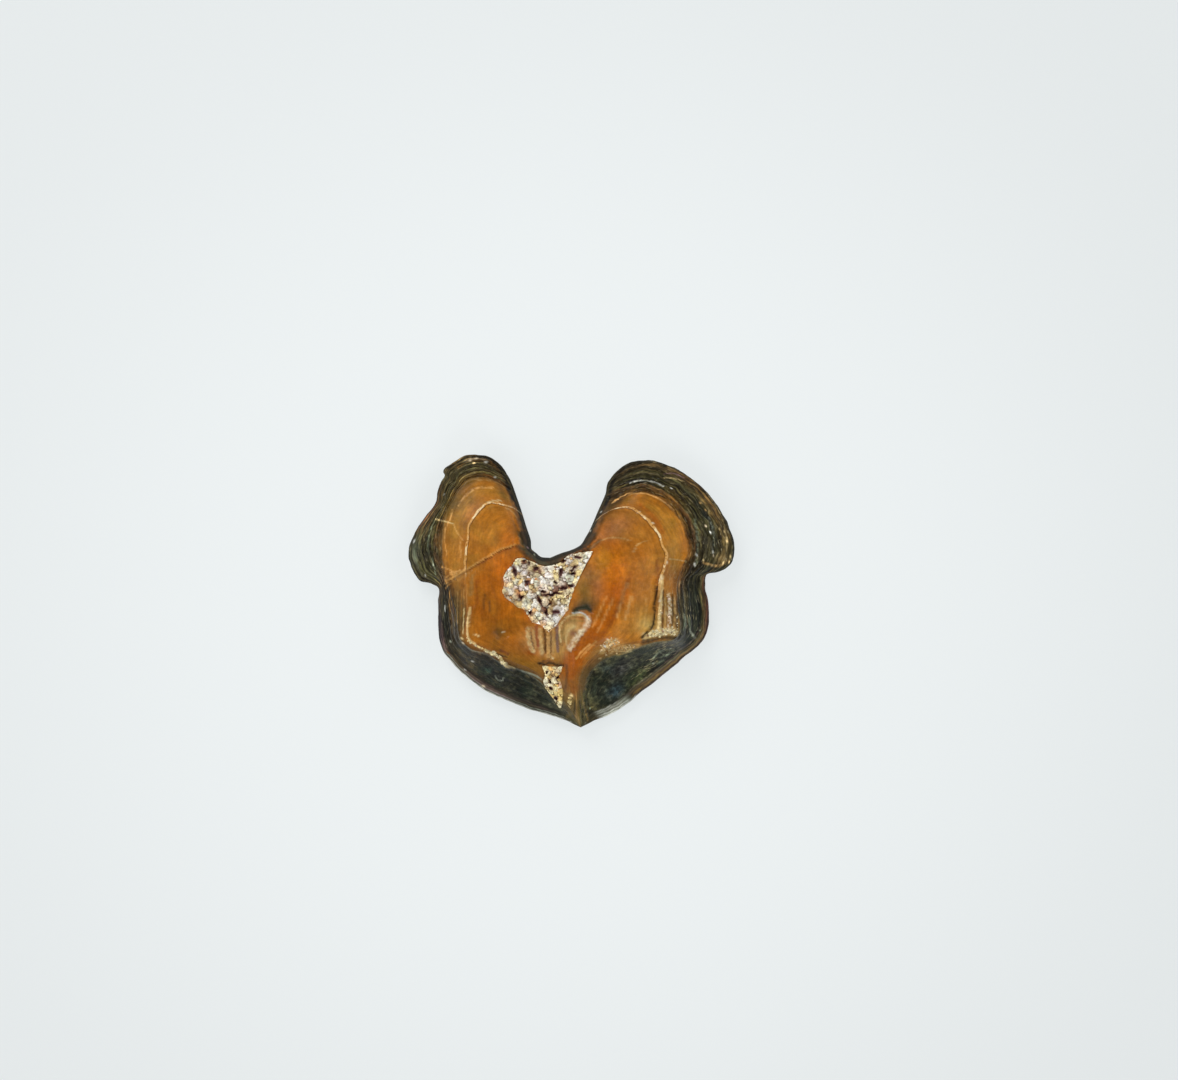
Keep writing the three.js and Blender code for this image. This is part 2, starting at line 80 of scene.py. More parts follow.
MIDLINE = [
    (0, -0.7, 1.09, 1), (0.2, -0.66, 0.66, 1.2), (0.4, -0.61, 0.14, 1.4), (0.55, -0.54, -0.35, 1.5),
    (0.67, -0.46, -0.94, 1.6), (0.77, -0.38, -1.6, 1.7), (0.85, -0.31, -2.19, 1.72),
    (0.91, -0.15, -2.81, 1.6), (0.955, 0.02, -3.4, 1.35), (0.985, 0.2, -3.99, 1),
    (1, 0.31, -4.47, 0.5),
]
RIGHT = {
    "side": 1,
    "pale_line": [
        (0, 0.67, 2.14, 1), (0.06, 1.03, 2.45, 1.2), (0.13, 1.66, 2.71, 1.4), (0.2, 2.28, 2.58, 1.55),
        (0.27, 2.7, 2.11, 1.65), (0.34, 3.03, 1.58, 1.75), (0.42, 3.13, 1.06, 1.85),
        (0.5, 2.95, 0.4, 1.95), (0.6, 2.74, -0.58, 2.1), (0.655, 2.62, -1.17, 2.15),
        (0.7, 2.28, -1.52, 2.15), (0.77, 1.62, -1.7, 2.1), (0.83, 1.03, -1.89, 2),
        (0.87, 0.67, -2.16, 1.9), (0.91, 0.38, -2.55, 1.75), (0.95, 0.25, -3.11, 1.5),
        (0.98, 0.28, -3.76, 1.1), (1, 0.31, -4.47, 0.5),
    ],
    "heart_limit": [
        (0, 1.03, 2.99, 0.9), (0.05, 1.56, 3.06, 1.05), (0.12, 2.25, 3.24, 1.15),
        (0.19, 2.87, 3.02, 1.2), (0.25, 3.33, 2.6, 1.25), (0.31, 3.66, 2.04, 1.3),
        (0.39, 3.79, 1.35, 1.35), (0.46, 3.62, 0.8, 1.4), (0.52, 3.46, 0.27, 1.5),
        (0.6, 3.48, -0.61, 1.65), (0.65, 3.52, -1.3, 1.8), (0.675, 3.36, -1.53, 1.85),
        (0.72, 2.74, -1.63, 1.9), (0.79, 1.75, -1.96, 1.8), (0.85, 1, -2.25, 1.65),
        (0.9, 0.54, -2.75, 1.5), (0.95, 0.38, -3.5, 1.15), (1, 0.31, -4.47, 0.5),
    ],
    "outline": [
        (0, 1.2, 3.55), (0.03, 1.46, 3.89), (0.065, 1.92, 4.19), (0.1, 2.41, 4.28), (0.165, 3.3, 4.07),
        (0.24, 4.21, 3.48), (0.31, 4.87, 2.7), (0.365, 5.23, 2.01), (0.41, 5.36, 1.42),
        (0.45, 5.23, 0.86), (0.48, 4.87, 0.63), (0.508, 4.46, 0.55), (0.535, 4.41, 0.17),
        (0.57, 4.51, -0.35), (0.615, 4.54, -1.01), (0.665, 4.28, -1.66), (0.73, 3.56, -2.3),
        (0.815, 2.57, -3.07), (0.93, 1.33, -4.02), (0.975, 0.67, -4.3), (1, 0.31, -4.47),
    ],
    "notch_edge": [  # growth, x, y
        (0, -0.7, 1.09), (0.08, -0.34, 1.24), (0.15, -0.02, 1.34), (0.22, 0.26, 1.47),
        (0.33, 0.48, 1.78), (0.5, 0.7, 2.2), (0.6, 0.87, 2.6), (0.7, 1.02, 2.93), (0.8, 1.13, 3.2),
        (0.9, 1.16, 3.39), (1, 1.2, 3.55),
    ],
}
LEFT = {
    "side": -1,
    "pale_line": [
        (0, -1.62, 2.34, 1), (0.06, -1.89, 2.58, 1.2), (0.11, -2.25, 2.73, 1.35),
        (0.16, -2.64, 2.81, 1.45), (0.22, -3.03, 2.58, 1.55), (0.28, -3.3, 2.17, 1.65),
        (0.36, -3.39, 1.61, 1.75), (0.45, -3.43, 0.96, 1.85), (0.52, -3.39, 0.2, 1.95),
        (0.58, -3.34, -0.55, 2.05), (0.63, -3.38, -1.2, 2.1), (0.66, -3.33, -1.5, 2.1),
        (0.71, -2.93, -1.73, 2.05), (0.77, -2.41, -1.99, 1.95), (0.83, -1.85, -2.29, 1.85),
        (0.89, -1.2, -2.58, 1.7), (0.95, -0.48, -3.24, 1.45), (0.98, -0.08, -3.8, 1.1),
        (1, 0.31, -4.47, 0.5),
    ],
    "heart_limit": [
        (0, -1.79, 3.06, 0.9), (0.04, -2.18, 3.39, 1), (0.08, -2.57, 3.63, 1.1), (0.12, -3, 3.71, 1.15),
        (0.16, -3.39, 3.58, 1.15), (0.2, -3.66, 3.32, 1.2), (0.24, -3.89, 2.96, 1.25),
        (0.3, -4.11, 2.4, 1.3), (0.38, -4.21, 1.75, 1.35), (0.45, -4.2, 1.02, 1.4),
        (0.49, -4.11, 0.53, 1.45), (0.54, -3.93, -0.02, 1.55), (0.6, -3.72, -0.78, 1.7),
        (0.65, -3.62, -1.5, 1.8), (0.69, -3.3, -1.83, 1.8), (0.75, -2.74, -2.01, 1.75),
        (0.8, -2.25, -2.32, 1.7), (0.86, -1.62, -2.55, 1.55), (0.92, -0.97, -2.98, 1.35),
        (0.97, -0.28, -3.76, 1), (1, 0.31, -4.47, 0.5),
    ],
    "outline": [
        (0, -2.15, 3.91), (0.025, -2.38, 4.2), (0.055, -2.77, 4.4), (0.086, -3.2, 4.46),
        (0.115, -3.59, 4.39), (0.145, -3.98, 4.14), (0.16, -4.16, 4.01), (0.17, -4.21, 3.89),
        (0.18, -4.16, 3.78), (0.2, -4.28, 3.55), (0.217, -4.39, 3.29), (0.24, -4.43, 2.93),
        (0.29, -4.84, 2.37), (0.33, -5.16, 1.88), (0.362, -5.33, 1.42), (0.385, -5.36, 1.09),
        (0.41, -5.23, 0.73), (0.44, -4.97, 0.37), (0.468, -4.61, 0.27), (0.487, -4.38, 0.12),
        (0.515, -4.38, -0.29), (0.573, -4.39, -1.11), (0.62, -4.31, -1.76), (0.655, -4.08, -2.17),
        (0.7, -3.59, -2.68), (0.755, -3, -3.17), (0.82, -2.18, -3.57), (0.89, -1.2, -3.93),
        (0.95, -0.38, -4.17), (1, 0.31, -4.47),
    ],
    "notch_edge": [  # growth, x, y
        (0, -0.7, 1.09), (0.09, -1, 1.12), (0.17, -1.16, 1.25), (0.25, -1.31, 1.37),
        (0.33, -1.34, 1.68), (0.41, -1.48, 2.11), (0.5, -1.59, 2.47), (0.6, -1.69, 2.78),
        (0.7, -1.79, 3.07), (0.8, -1.9, 3.39), (0.9, -2.02, 3.68), (1, -2.15, 3.91),
    ],
}
NOTCH_REACH = 5  # how quickly the rays turn from the notch edge to the guides
print("outline points:", len(RIGHT["outline"]), "right,", len(LEFT["outline"]), "left")


# %% Curves through rows of numbers
def along(rows, station):
    """Smooth curve through rows of (station, values): cubic Hermite, slopes weighted from both sides."""
    rows = np.array(rows, float)
    knots, values = rows[:, 0], rows[:, 1:]
    gap = np.diff(knots)
    slope = np.diff(values, axis=0) / gap[:, None]
    share = (gap[1:] / (gap[:-1] + gap[1:]))[:, None]
    tangent = np.vstack([slope[:1], share * slope[:-1] + (1 - share) * slope[1:], slope[-1:]])
    i = np.clip(np.searchsorted(knots, station, side="right") - 1, 0, len(knots) - 2)
    s = ((station - knots[i]) / gap[i])[..., None]
    h = gap[i][..., None]
    return (
        (2 * s**3 - 3 * s**2 + 1) * values[i]
        + (s**3 - 2 * s**2 + s) * h * tangent[i]
        + (3 * s**2 - 2 * s**3) * values[i + 1]
        + (s**3 - s**2) * h * tangent[i + 1]
    )


def smooth(low, high, value):
    """0 below low, 1 above high, and an S-curve 3t^2 - 2t^3 between; high may be below low."""
    t = np.clip((value - low) / (high - low), 0, 1)
    return t * t * (3 - 2 * t)


def guide_surface(wing, ray, growth):
    """x, y, height of a wing on a grid, growth down and ray across: straight between the guides.

    At ray 0 the grid is moved onto the notch's edge, by an offset that dies away along the ray.
    """
    stations = np.array([0, PALE_LINE, HEART_LIMIT, 1])
    outline = along(wing["outline"], ray)
    rim = np.column_stack([outline, along(wing["heart_limit"], ray)[:, 2]])
    inner = [along(rows, ray) for rows in (MIDLINE, wing["pale_line"], wing["heart_limit"])]
    guides = np.stack([*inner, rim])
    k = np.clip(np.searchsorted(stations, growth, side="right") - 1, 0, 2)
    share = ((growth - stations[k]) / (stations[k + 1] - stations[k]))[:, None, None]
    grid = guides[k] * (1 - share) + guides[k + 1] * share
    offset = along(wing["notch_edge"], growth) - grid[:, 0, :2]
    grid[..., :2] += offset[:, None, :] * np.exp(-((ray * NOTCH_REACH) ** 1.5))[None, :, None]
    return grid


# %% [markdown]
# ## A grid that is fine where the tooth is fine
# A regular grid would waste points on the smooth heart. Instead, the growth lines crowd together in
# the dark terraces and at the rim, and the rays near the notch, where the edge is rounded over.

# %% Rays and growth lines
UNDER_STRIDE = 3  # the plain underside keeps every third line and ray
RAYS, RAY_CROWDING = 345, 1.3  # a power above 1 crowds the rays at the notch
HEART_LINES, BAND_LINES, DARK_LINES, LINE_CROWDING = 52, 20, 51, 1.2  # and the lines at the rim

ray = np.linspace(0, 1, RAYS + 1) ** RAY_CROWDING
growth = np.concatenate([
    PALE_LINE * np.linspace(0, 1, HEART_LINES + 1)[:-1] ** LINE_CROWDING,
    np.linspace(PALE_LINE, HEART_LIMIT, BAND_LINES + 1)[:-1],
    1 - (1 - HEART_LIMIT) * np.linspace(1, 0, DARK_LINES + 1) ** LINE_CROWDING,
])
print("growth lines:", len(growth), "rays:", len(ray))


# %% [markdown]
# ## Helpers for marks that ignore the growth lines
# Cracks, folds and stains cut across the bands. Each is a path or a spot on the plate, so we need
# the distance from every point to a path, a test for being inside an outline, and soft noise that
# makes straight things wander.

# %% Distances and outlines
def distance_to(path, x, y):
    """Distance in mm from each point to the nearest piece of a polyline."""
    path = np.array(path, float)
    best = np.full(x.shape, np.inf)
    for a, b in zip(path[:-1], path[1:]):
        d = b - a
        share = np.clip(((x - a[0]) * d[0] + (y - a[1]) * d[1]) / max(d @ d, 1e-12), 0, 1)
        best = np.minimum(best, np.hypot(x - a[0] - share * d[0], y - a[1] - share * d[1]))
    return best


def inside(outline, x, y):
    """How deep each point is inside a closed outline, in mm; negative outside. Even-odd crossings."""
    ring = np.array(outline, float)
    crossed = np.zeros(x.shape, bool)
    for a, b in zip(ring, np.roll(ring, -1, axis=0)):
        spans = (a[1] > y) != (b[1] > y)
        level = b[1] - a[1] if a[1] != b[1] else 1e-9
        crossed ^= spans & (x < a[0] + (y - a[1]) * (b[0] - a[0]) / level)
    far = distance_to(np.vstack([ring, ring[:1]]), x, y)
    return np.where(crossed, far, -far)


# %% Noise, spots and strokes
LATTICE = 64  # cells until the noise repeats
OFFSET_X, OFFSET_Y = 31.7, 47.3  # cells, so that no lattice line runs through the plate's middle
WANDER = 0.014  # mm that a stroke strays from its path
RAGGED = 0.3  # share of a stroke's width by which its sides vary


def drift(x, y, size, seed, octaves=3):
    """Cloudy noise, about -1 to 1: random slopes on a lattice, blended by S-curves, in finer octaves."""
    angle = np.random.default_rng(seed).uniform(0, 2 * np.pi, (LATTICE, LATTICE))
    total = np.zeros(np.shape(x))
    for octave in range(octaves):
        u, v = x / size * 2**octave + OFFSET_X, y / size * 2**octave + OFFSET_Y
        i, j = np.floor(u).astype(int), np.floor(v).astype(int)
        s, t = u - i, v - j

        def slope(di, dj):
            a = angle[(i + di) % LATTICE, (j + dj) % LATTICE]
            return np.cos(a) * (s - di) + np.sin(a) * (t - dj)

        across, up = smooth(0, 1, s), smooth(0, 1, t)
        low = slope(0, 0) * (1 - across) + slope(1, 0) * across
        high = slope(0, 1) * (1 - across) + slope(1, 1) * across
        total += (low * (1 - up) + high * up) / 2**octave
    return 1.5 * total


def spot(x, y, at, radii, turn=0):
    """1 at a spot's centre, falling as a bell to 0 outside its two radii; turn is in degrees."""
    c, s = np.cos(np.radians(turn)), np.sin(np.radians(turn))
    dx, dy = x - at[0], y - at[1]
    return np.exp(-(((dx * c + dy * s) / radii[0]) ** 2) - ((dy * c - dx * s) / radii[1]) ** 2)


def curve(path):
    """The smooth curve through a path's points, as a polyline with six pieces for each of them."""
    path = np.array(path, float)
    travelled = np.concatenate([[0], np.cumsum(np.hypot(*np.diff(path, axis=0).T))])
    return along(np.column_stack([travelled, path]), np.linspace(0, travelled[-1], 6 * len(path)))


def stroke(x, y, path, width, beads=0.0):
    """Near a smooth path 1, falling to 0 between half a width and one and a half; beads breaks it up."""
    line = curve(path)
    margin = 2 * width + 0.02
    low, high = line.min(axis=0) - margin, line.max(axis=0) + margin
    near = (x > low[0]) & (x < high[0]) & (y > low[1]) & (y < high[1])
    mask = np.zeros(x.shape)
    nx, ny = x[near], y[near]
    wander = WANDER * drift(nx, ny, 0.12, 3, 2)
    far = distance_to(line, nx + wander, ny - wander)
    ragged = far / width + RAGGED * drift(nx, ny, 0.09, 5, 2)
    mask[near] = smooth(1.5, 0.5, ragged) * (1 - beads * smooth(-0.15, 0.25, drift(nx, ny, 0.1, 4, 1)))
    return mask


# %% [markdown]
# ## Fitting the outline
# Real edges are chipped and worn. A small shift by noise and by a few worn places, only near the
# outline and none at the tip, breaks the smooth curve. Then both wings are scaled together, so that
# the outline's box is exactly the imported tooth's box.

# %% Chips
CHIP_SIZE = 0.02  # mm
CHIPPED_EDGES = [  # place, radii in mm, turn in degrees, shift in mm
    ((2.74, -2.94), (0.9, 0.3), 35, (0.018, -0.03)), ((4.34, -1.6), (0.3, 0.3), 0, (0.02, -0.02)),
    ((-4.74, 0.34), (0.7, 0.25), -20, (-0.012, -0.028)), ((-4.64, 2.73), (0.3, 0.5), 0, (-0.022, 0.01)),
    ((-0.21, 1.32), (0.4, 0.25), 0, (0, -0.1)), ((-1.79, 1.98), (0.2, 0.4), 0, (-0.025, 0)),
]


def chip(grid):
    """Shifts the outermost growth lines by noise and by worn places; the tip and the midline stay."""
    x, y = grid[..., 0].copy(), grid[..., 1].copy()
    reach = smooth(0.86, 1, growth)[:, None] * smooth(1, 0.97, ray)[None]
    worn = [spot(x, y, at, radii, turn) for at, radii, turn, _ in CHIPPED_EDGES]
    for axis, seed in enumerate((61, 62)):
        shift = CHIP_SIZE * drift(x, y, 0.45, seed)
        shift += sum(w * by[axis] for w, (*_, by) in zip(worn, CHIPPED_EDGES))
        grid[..., axis] += reach * shift


# %% The two wings, chipped and fitted
wings = [(wing, guide_surface(wing, ray, growth)) for wing in (RIGHT, LEFT)]
for _, grid in wings:
    chip(grid)
edge_points = np.concatenate([np.vstack([grid[-1, :, :2], grid[:, 0, :2]]) for _, grid in wings])
raw_low, raw_high = edge_points.min(axis=0), edge_points.max(axis=0)
fit = (tooth_high - tooth_low)[:2] / (raw_high - raw_low)
for _, grid in wings:
    grid[..., :2] = (grid[..., :2] - (raw_low + raw_high) / 2) * fit + (tooth_low + tooth_high)[:2] / 2
print("outline before the fit, mm:", np.round(raw_high - raw_low, 3), "scale:", np.round(fit, 4))

# %% [markdown]
# ## Ledges
# Each pause in growth left a ledge: the tread rises a little, then drops at once. Six main ledges
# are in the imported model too. Between them the real plate has dozens of hair-fine ones, so a random
# staircase with small drops is laid over them. `np.interp` reads both as a profile over growth.

# %% The staircase of growth
LEDGE_RUN, HAIR_RUN = 0.012, 0.006  # growth over which a ledge falls
LEDGES = [  # growth, drop in mm
    (PALE_LINE, 0.05), (HEART_LIMIT, 0.08), (0.76, 0.07), (0.82, 0.06), (0.885, 0.06), (0.945, 0.05),
]


def staircase(edges, drops, run):
    """Profile over growth: from the last ledge's foot it climbs to the next edge, then falls by run."""
    stations, heights = [edges[0] - 0.2], [0.0]
    for edge, drop in zip(edges, drops):
        stations += [edge, edge + run]
        heights += [drop, 0.0]
    return np.array(stations), np.array(heights)


# %% Main ledges and hair ledges
HAIRS = [  # growth at the first, how many, spacing, jitter, drop in mm: heart, band, dark terraces
    (0.06, 14, 0.031, 0.008, 0.003), (0.513, 10, 0.0185, 0.004, 0.009), (0.715, 15, 0.0188, 0.004, 0.03),
]
main_steps = staircase([edge for edge, _ in LEDGES], [drop for _, drop in LEDGES], LEDGE_RUN)
rng = np.random.default_rng(11)
hair_edges = np.concatenate([
    first + np.arange(count) * gap + rng.uniform(-jitter, jitter, count)
    for first, count, gap, jitter, _ in HAIRS
])
hair_drops = np.concatenate([np.full(count, drop) for _, count, _, _, drop in HAIRS])
hair_drops *= rng.uniform(0.5, 1.3, len(hair_drops))
hair_steps = staircase(hair_edges, hair_drops, HAIR_RUN)
print("hair ledges:", len(hair_edges))

# %% [markdown]
# ## Relief across the bands
# These are the accidents of one specimen: the keel to the tip, a looped fold and small ribs beside
# it, a crack that stepped across the left wing, a split beside the right wing's pale line, crusts
# on the lower ridges, and scratches. Each is a short list of points in mm, a width and a height.

# %% Ridges and the crack
KEEL = [(0.1, -1.95), (0.2, -2.9), (0.36, -4.35)]
CRACK = [
    (-4.15, 0.34), (-3.95, 0.37), (-3.7, 0.5), (-3.43, 0.66), (-3.07, 0.88), (-2.67, 1.12), (-2.44, 1.27),
    (-2.02, 1.43), (-1.69, 1.52),
]
RAISED = [  # path, width, height
    ([(-0.34, -1.63), (-0.39, -1.37), (-0.36, -1.14), (-0.25, -0.93), (-0.08, -0.8), (0.08, -0.75),
        (0.34, -0.76), (0.54, -0.86), (0.57, -0.98), (0.48, -1.14), (0.21, -1.45), (-0.05, -1.83)],
        0.08, 0.06),
    ([(-1.38, -1.2), (-1.38, -1.47), (-1.33, -1.71), (-1.23, -1.93)], 0.07, 0.05),
    ([(-1.01, -1.27), (-0.99, -1.6), (-0.95, -1.96)], 0.07, 0.05),
    ([(-0.76, -1.24), (-0.74, -1.6), (-0.74, -2.09)], 0.08, 0.05),
    ([(-3.25, -0.5), (-3.31, -0.71), (-3.35, -1.07), (-3.35, -1.42), (-3.3, -1.58), (-3.16, -1.68),
        (-3.03, -1.76), (-2.9, -1.83)], 0.05, 0.05),
    ([(-2.78, -1.89), (-2.61, -1.96), (-2.44, -2.04), (-2.31, -2.12), (-2.25, -2.24), (-2.17, -2.36),
        (-1.88, -2.48)], 0.08, 0.06),
    ([(2.31, -1.55), (2.51, -1.5), (2.7, -1.42), (2.9, -1.37), (3.13, -1.35), (3.33, -1.37),
        (3.48, -1.42)], 0.18, 0.05),
    ([(1.1, -1.77), (1.2, -1.63), (1.31, -1.55)], 0.07, 0.05),
    ([(1.36, -1.8), (1.59, -1.78), (1.85, -1.8)], 0.06, 0.04),
    ([(2.83, -1.24), (2.87, -0.68), (2.92, -0.09)], 0.05, 0.04),
    ([(3.13, -1.27), (3.2, -0.68), (3.16, -0.09)], 0.07, 0.05),
    ([(2.28, -3.25), (1.92, -3.5), (1.59, -3.8), (1.26, -4.04)], 0.05, 0.04),
]

# %% Grooves and dents
SUNKEN = [  # path, width, depth
    ([(2.77, 0.37), (2.74, -0.02), (2.7, -0.42), (2.67, -0.81), (2.66, -1.17)], 0.04, 0.06),
    ([(-1, -2.34), (-0.77, -2.33), (-0.51, -2.35), (-0.28, -2.4)], 0.05, 0.06),
    ([(0.1, -0.61), (0.31, -0.53), (0.51, -0.51), (0.61, -0.6)], 0.08, 0.05),
    ([(-1.15, -1.16), (-1.13, -1.4), (-1.09, -1.7)], 0.05, 0.04),
    ([(-0.89, -1.25), (-0.85, -1.53), (-0.85, -1.86)], 0.04, 0.05),
    ([(-0.46, -1.2), (-0.45, -1.47), (-0.43, -1.76)], 0.04, 0.04),
    ([(2.95, -1.27), (2.97, -0.61), (2.99, 0.04)], 0.03, 0.04),
    ([(3.25, -1.2), (3.28, -0.68), (3.26, -0.16)], 0.035, 0.035),
    ([(-2.38, -1.3), (-2.25, -1.43), (-2.15, -1.37)], 0.12, 0.03),
]

# %% Outlines of the two patches of sand
FILL = [
    (-1.79, 1.09), (-1.56, 1.14), (-1.3, 1.02), (-1.03, 0.88), (-0.84, 0.82), (-0.61, 0.86), (-0.38, 0.98),
    (-0.18, 1.15), (0.04, 1.24), (0.27, 1.31), (0.52, 1.34), (0.7, 1.31), (0.61, 1.12), (0.51, 0.96),
    (0.41, 0.76), (0.28, 0.5), (0.18, 0.27), (0.08, 0.04), (0.02, -0.19), (-0.05, -0.39), (-0.08, -0.58),
    (-0.21, -0.75), (-0.34, -0.91), (-0.48, -1.11), (-0.61, -1.24), (-0.74, -1.37), (-0.84, -1.24),
    (-1, -1.07), (-1.26, -1.01), (-1.39, -0.81), (-1.56, -0.58), (-1.75, -0.52), (-1.95, -0.35),
    (-2.18, -0.19), (-2.25, 0.01), (-2.18, 0.24), (-2.21, 0.47), (-2.11, 0.66), (-1.95, 0.86),
]
SEAM = [
    (-0.97, -2.39), (-0.64, -2.39), (-0.28, -2.42), (-0.28, -2.52), (-0.38, -2.75), (-0.31, -3.04),
    (-0.25, -3.24), (-0.28, -3.57), (-0.34, -3.8), (-0.41, -3.86), (-0.54, -3.63), (-0.7, -3.37),
    (-0.87, -3.11), (-0.93, -2.91), (-0.87, -2.65),
]


# %% The height of every mark
LIP_HEIGHT, LIP_REACH = 0.09, 1.1  # mm, the raised side of the crack
KEEL_HEIGHT, KEEL_WIDTH = 0.13, 0.22
FAN_X, FAN_TOP, FAN_RIB, FAN_SPREAD = 0.28, -2.6, 0.05, 0.045  # ribs that spread towards the tip


def crack_sides(x, y):
    """Nearness to the crack from 1 to 0, and True where a point is on its raised, upper side."""
    line = curve(CRACK)
    wx = x + 0.02 * drift(x, y, 0.2, 15)
    wy = y + 0.02 * drift(x, y, 0.2, 16)
    within = smooth(line[0, 0] - 0.05, line[0, 0] + 0.2, wx) * smooth(line[-1, 0], line[-1, 0] - 0.2, wx)
    return distance_to(line, wx, wy), within, wy > np.interp(wx, line[:, 0], line[:, 1])


def relief(x, y, dark):
    """Height that the marks add in mm; dark is 1 in the dark bands, which are rougher."""
    far, within, above = crack_sides(x, y)
    height = np.where(above, LIP_HEIGHT * within * np.exp(-far / LIP_REACH), 0)
    height += KEEL_HEIGHT * np.exp(-((distance_to(KEEL, x, y) / KEEL_WIDTH) ** 2))
    grit = 0.5 + 0.5 * drift(x, y, 0.07, 5, 2)
    for path, width, rise in RAISED:
        height += rise * stroke(x, y, path, width) * (0.5 + grit)
    for path, width, depth in SUNKEN:
        height -= depth * stroke(x, y, path, width)
    tip = smooth(-2.9, -3.6, y) * smooth(0.7, 0.3, np.abs(x - FAN_X))
    rib = FAN_RIB + FAN_SPREAD * np.maximum(FAN_TOP - y, 0)
    height += 0.012 * tip * np.cos(2 * np.pi * (x - FAN_X) / rib)
    rough = 0.014 * drift(x, y, 0.13, 12, 2) + 0.02 * drift(x, y, 0.5, 13)
    height += 0.004 * drift(x, y, 0.4, 9) + dark * rough
    return height


print("ridges:", len(RAISED), "grooves:", len(SUNKEN))


# %% [markdown]
# ## Top and underside
# The top takes its height from the guides, then ledges, marks and hollows are added. The underside
# is flat where the tooth rests and lifts towards the rim. Both meet at the outline in a thin rim,
# rounded over like a worn edge: a quarter circle over the distance to the outline.

# %% Heights, in mm
RIM_THICKNESS = 0.28
RIM_ROUND = (0.14, 0.3)  # least and greatest radius
FOOT = {"at": (0.05, -0.9), "radii": (2.2, 1.5)}
UNDERSIDE_RISE = 0.16
HOLLOW_DEPTH, HOLLOW_WALL = 0.22, 0.09
CEILING = tooth_high[2] - 0.04  # leaves room for crumbs on the highest ridge
CEILING_ROUND = 0.15  # heights are bent under the ceiling from this far below it
LINE_SHIFTS = [  # place, radii in mm, turn in degrees, growth added: moves the lines inwards there
    ((2.28, 2.63), (0.42, 0.3), 35, 0.016), ((2.67, 2.27), (0.36, 0.3), 45, 0.008),
    ((3.03, 1.52), (0.3, 0.5), 10, 0.015), ((3, 0.37), (0.3, 0.5), 0, 0.016),
    ((-3.46, 1.75), (0.3, 0.6), 0, 0.008),
]
fitted_outline = np.vstack([
    wings[0][1][-1, :, :2], wings[1][1][-1, ::-1, :2], wings[1][1][::-1, 0, :2], wings[0][1][:, 0, :2],
])[::2]


def underside_base(x, y):
    """Flat inside the foot's ellipse; outside it rises with the 1.5th power of the distance."""
    q = np.hypot((x - FOOT["at"][0]) / FOOT["radii"][0], (y - FOOT["at"][1]) / FOOT["radii"][1])
    return UNDERSIDE_RISE * np.maximum(q - 1, 0) ** 1.5


def round_over(distance, radius):
    """Quarter circle: 0 on the outline, 1 from radius inwards."""
    return np.sqrt(1 - (1 - np.minimum(distance / radius, 1)) ** 2)


# %% Shape a wing
def under_ceiling(top):
    """Below the knee as it is; above it knee + r tanh(over / r), which never reaches the ceiling."""
    knee = CEILING - CEILING_ROUND
    over = top - knee
    return np.where(over > 0, knee + CEILING_ROUND * np.tanh(over / CEILING_ROUND), top)


def shape_wing(wing, grid):
    """Top and underside points of a wing, with the growth, ray and distances that colours need."""
    x, y, height = grid[..., 0], grid[..., 1], grid[..., 2]
    u, v = np.broadcast_to(ray, x.shape), np.broadcast_to(growth[:, None], x.shape)
    to_edge = distance_to(fitted_outline, x, y)
    to_edge[-1], to_edge[:, 0], to_edge[:, -1] = 0, 0, 0
    base = underside_base(x, y)
    rim = base + RIM_THICKNESS / 2
    dark = smooth(0.69, 0.72, v)
    spread = np.hypot(np.gradient(x, growth, axis=0), np.gradient(y, growth, axis=0))
    shift = sum(by * spot(x, y, at, radii, turn) for at, radii, turn, by in LINE_SHIFTS)
    waver = (0.005 + 0.004 * dark) * drift(x, y, 0.35, 7) * smooth(0, 0.06, 1 - v) * smooth(0, 0.1, v)
    wobble = v + shift + waver

    bulge = 0.75 + 0.3 * smooth(0.4, 0.6, u)
    inward = np.minimum((1 - v) / (1 - HEART_LIMIT), 1) ** bulge
    low = base + RIM_THICKNESS
    top = np.where(v > HEART_LIMIT, low + (height - low) * inward, height)
    fade = smooth(0, 0.04, u) * smooth(0.985, 0.9, u)
    uneven = np.clip(0.8 + 0.9 * drift(x, y, 0.4, 8), 0.1, 1.7)
    calm = 1 - 0.8 * smooth(0.63, 0.68, u) * dark
    top = top + fade * calm * (np.interp(wobble, *main_steps) + uneven * np.interp(wobble, *hair_steps))
    top = under_ceiling(top + relief(x, y, dark * fade * calm))
    round_radius = np.clip((top - rim) / 2, *RIM_ROUND)
    top = rim + (top - rim) * round_over(to_edge, round_radius)

    ripple = smooth(0.01, 0.05, base) * (0.012 * drift(x, y, 0.5, 10) + np.interp(v, *main_steps) * 0.35)
    bottom = rim - (rim - base - ripple) * round_over(to_edge, RIM_ROUND[0])
    hollow = np.maximum(*(smooth(0, HOLLOW_WALL, inside(patch, x, y)) for patch in (FILL, SEAM)))
    return {
        "top": np.stack([x, y, top - HOLLOW_DEPTH * hollow], axis=-1), "plain": top,
        "bottom": np.stack([x, y, bottom], axis=-1), "growth": wobble, "ray": u,
        "to_edge": to_edge, "off_line": (wobble - PALE_LINE) * spread, "wing": wing,
    }


shaped = [shape_wing(wing, grid) for wing, grid in wings]
highest = max(float(w["top"][..., 2].max()) for w in shaped)
print("highest top, mm:", round(highest, 3), "box:", tooth_high[2])


# %% [markdown]
# ## From grids to one closed skin
# Both wings share the midline and the tip, and top and underside share the outline. So the four
# grids are put into one list, equal points are made one point, and faces that shrank to a line at
# the tip are dropped. The underside keeps every third line and ray, because nothing fine is on it;
# where it meets the top, a strip of triangles leads from the coarse points to the fine ones.

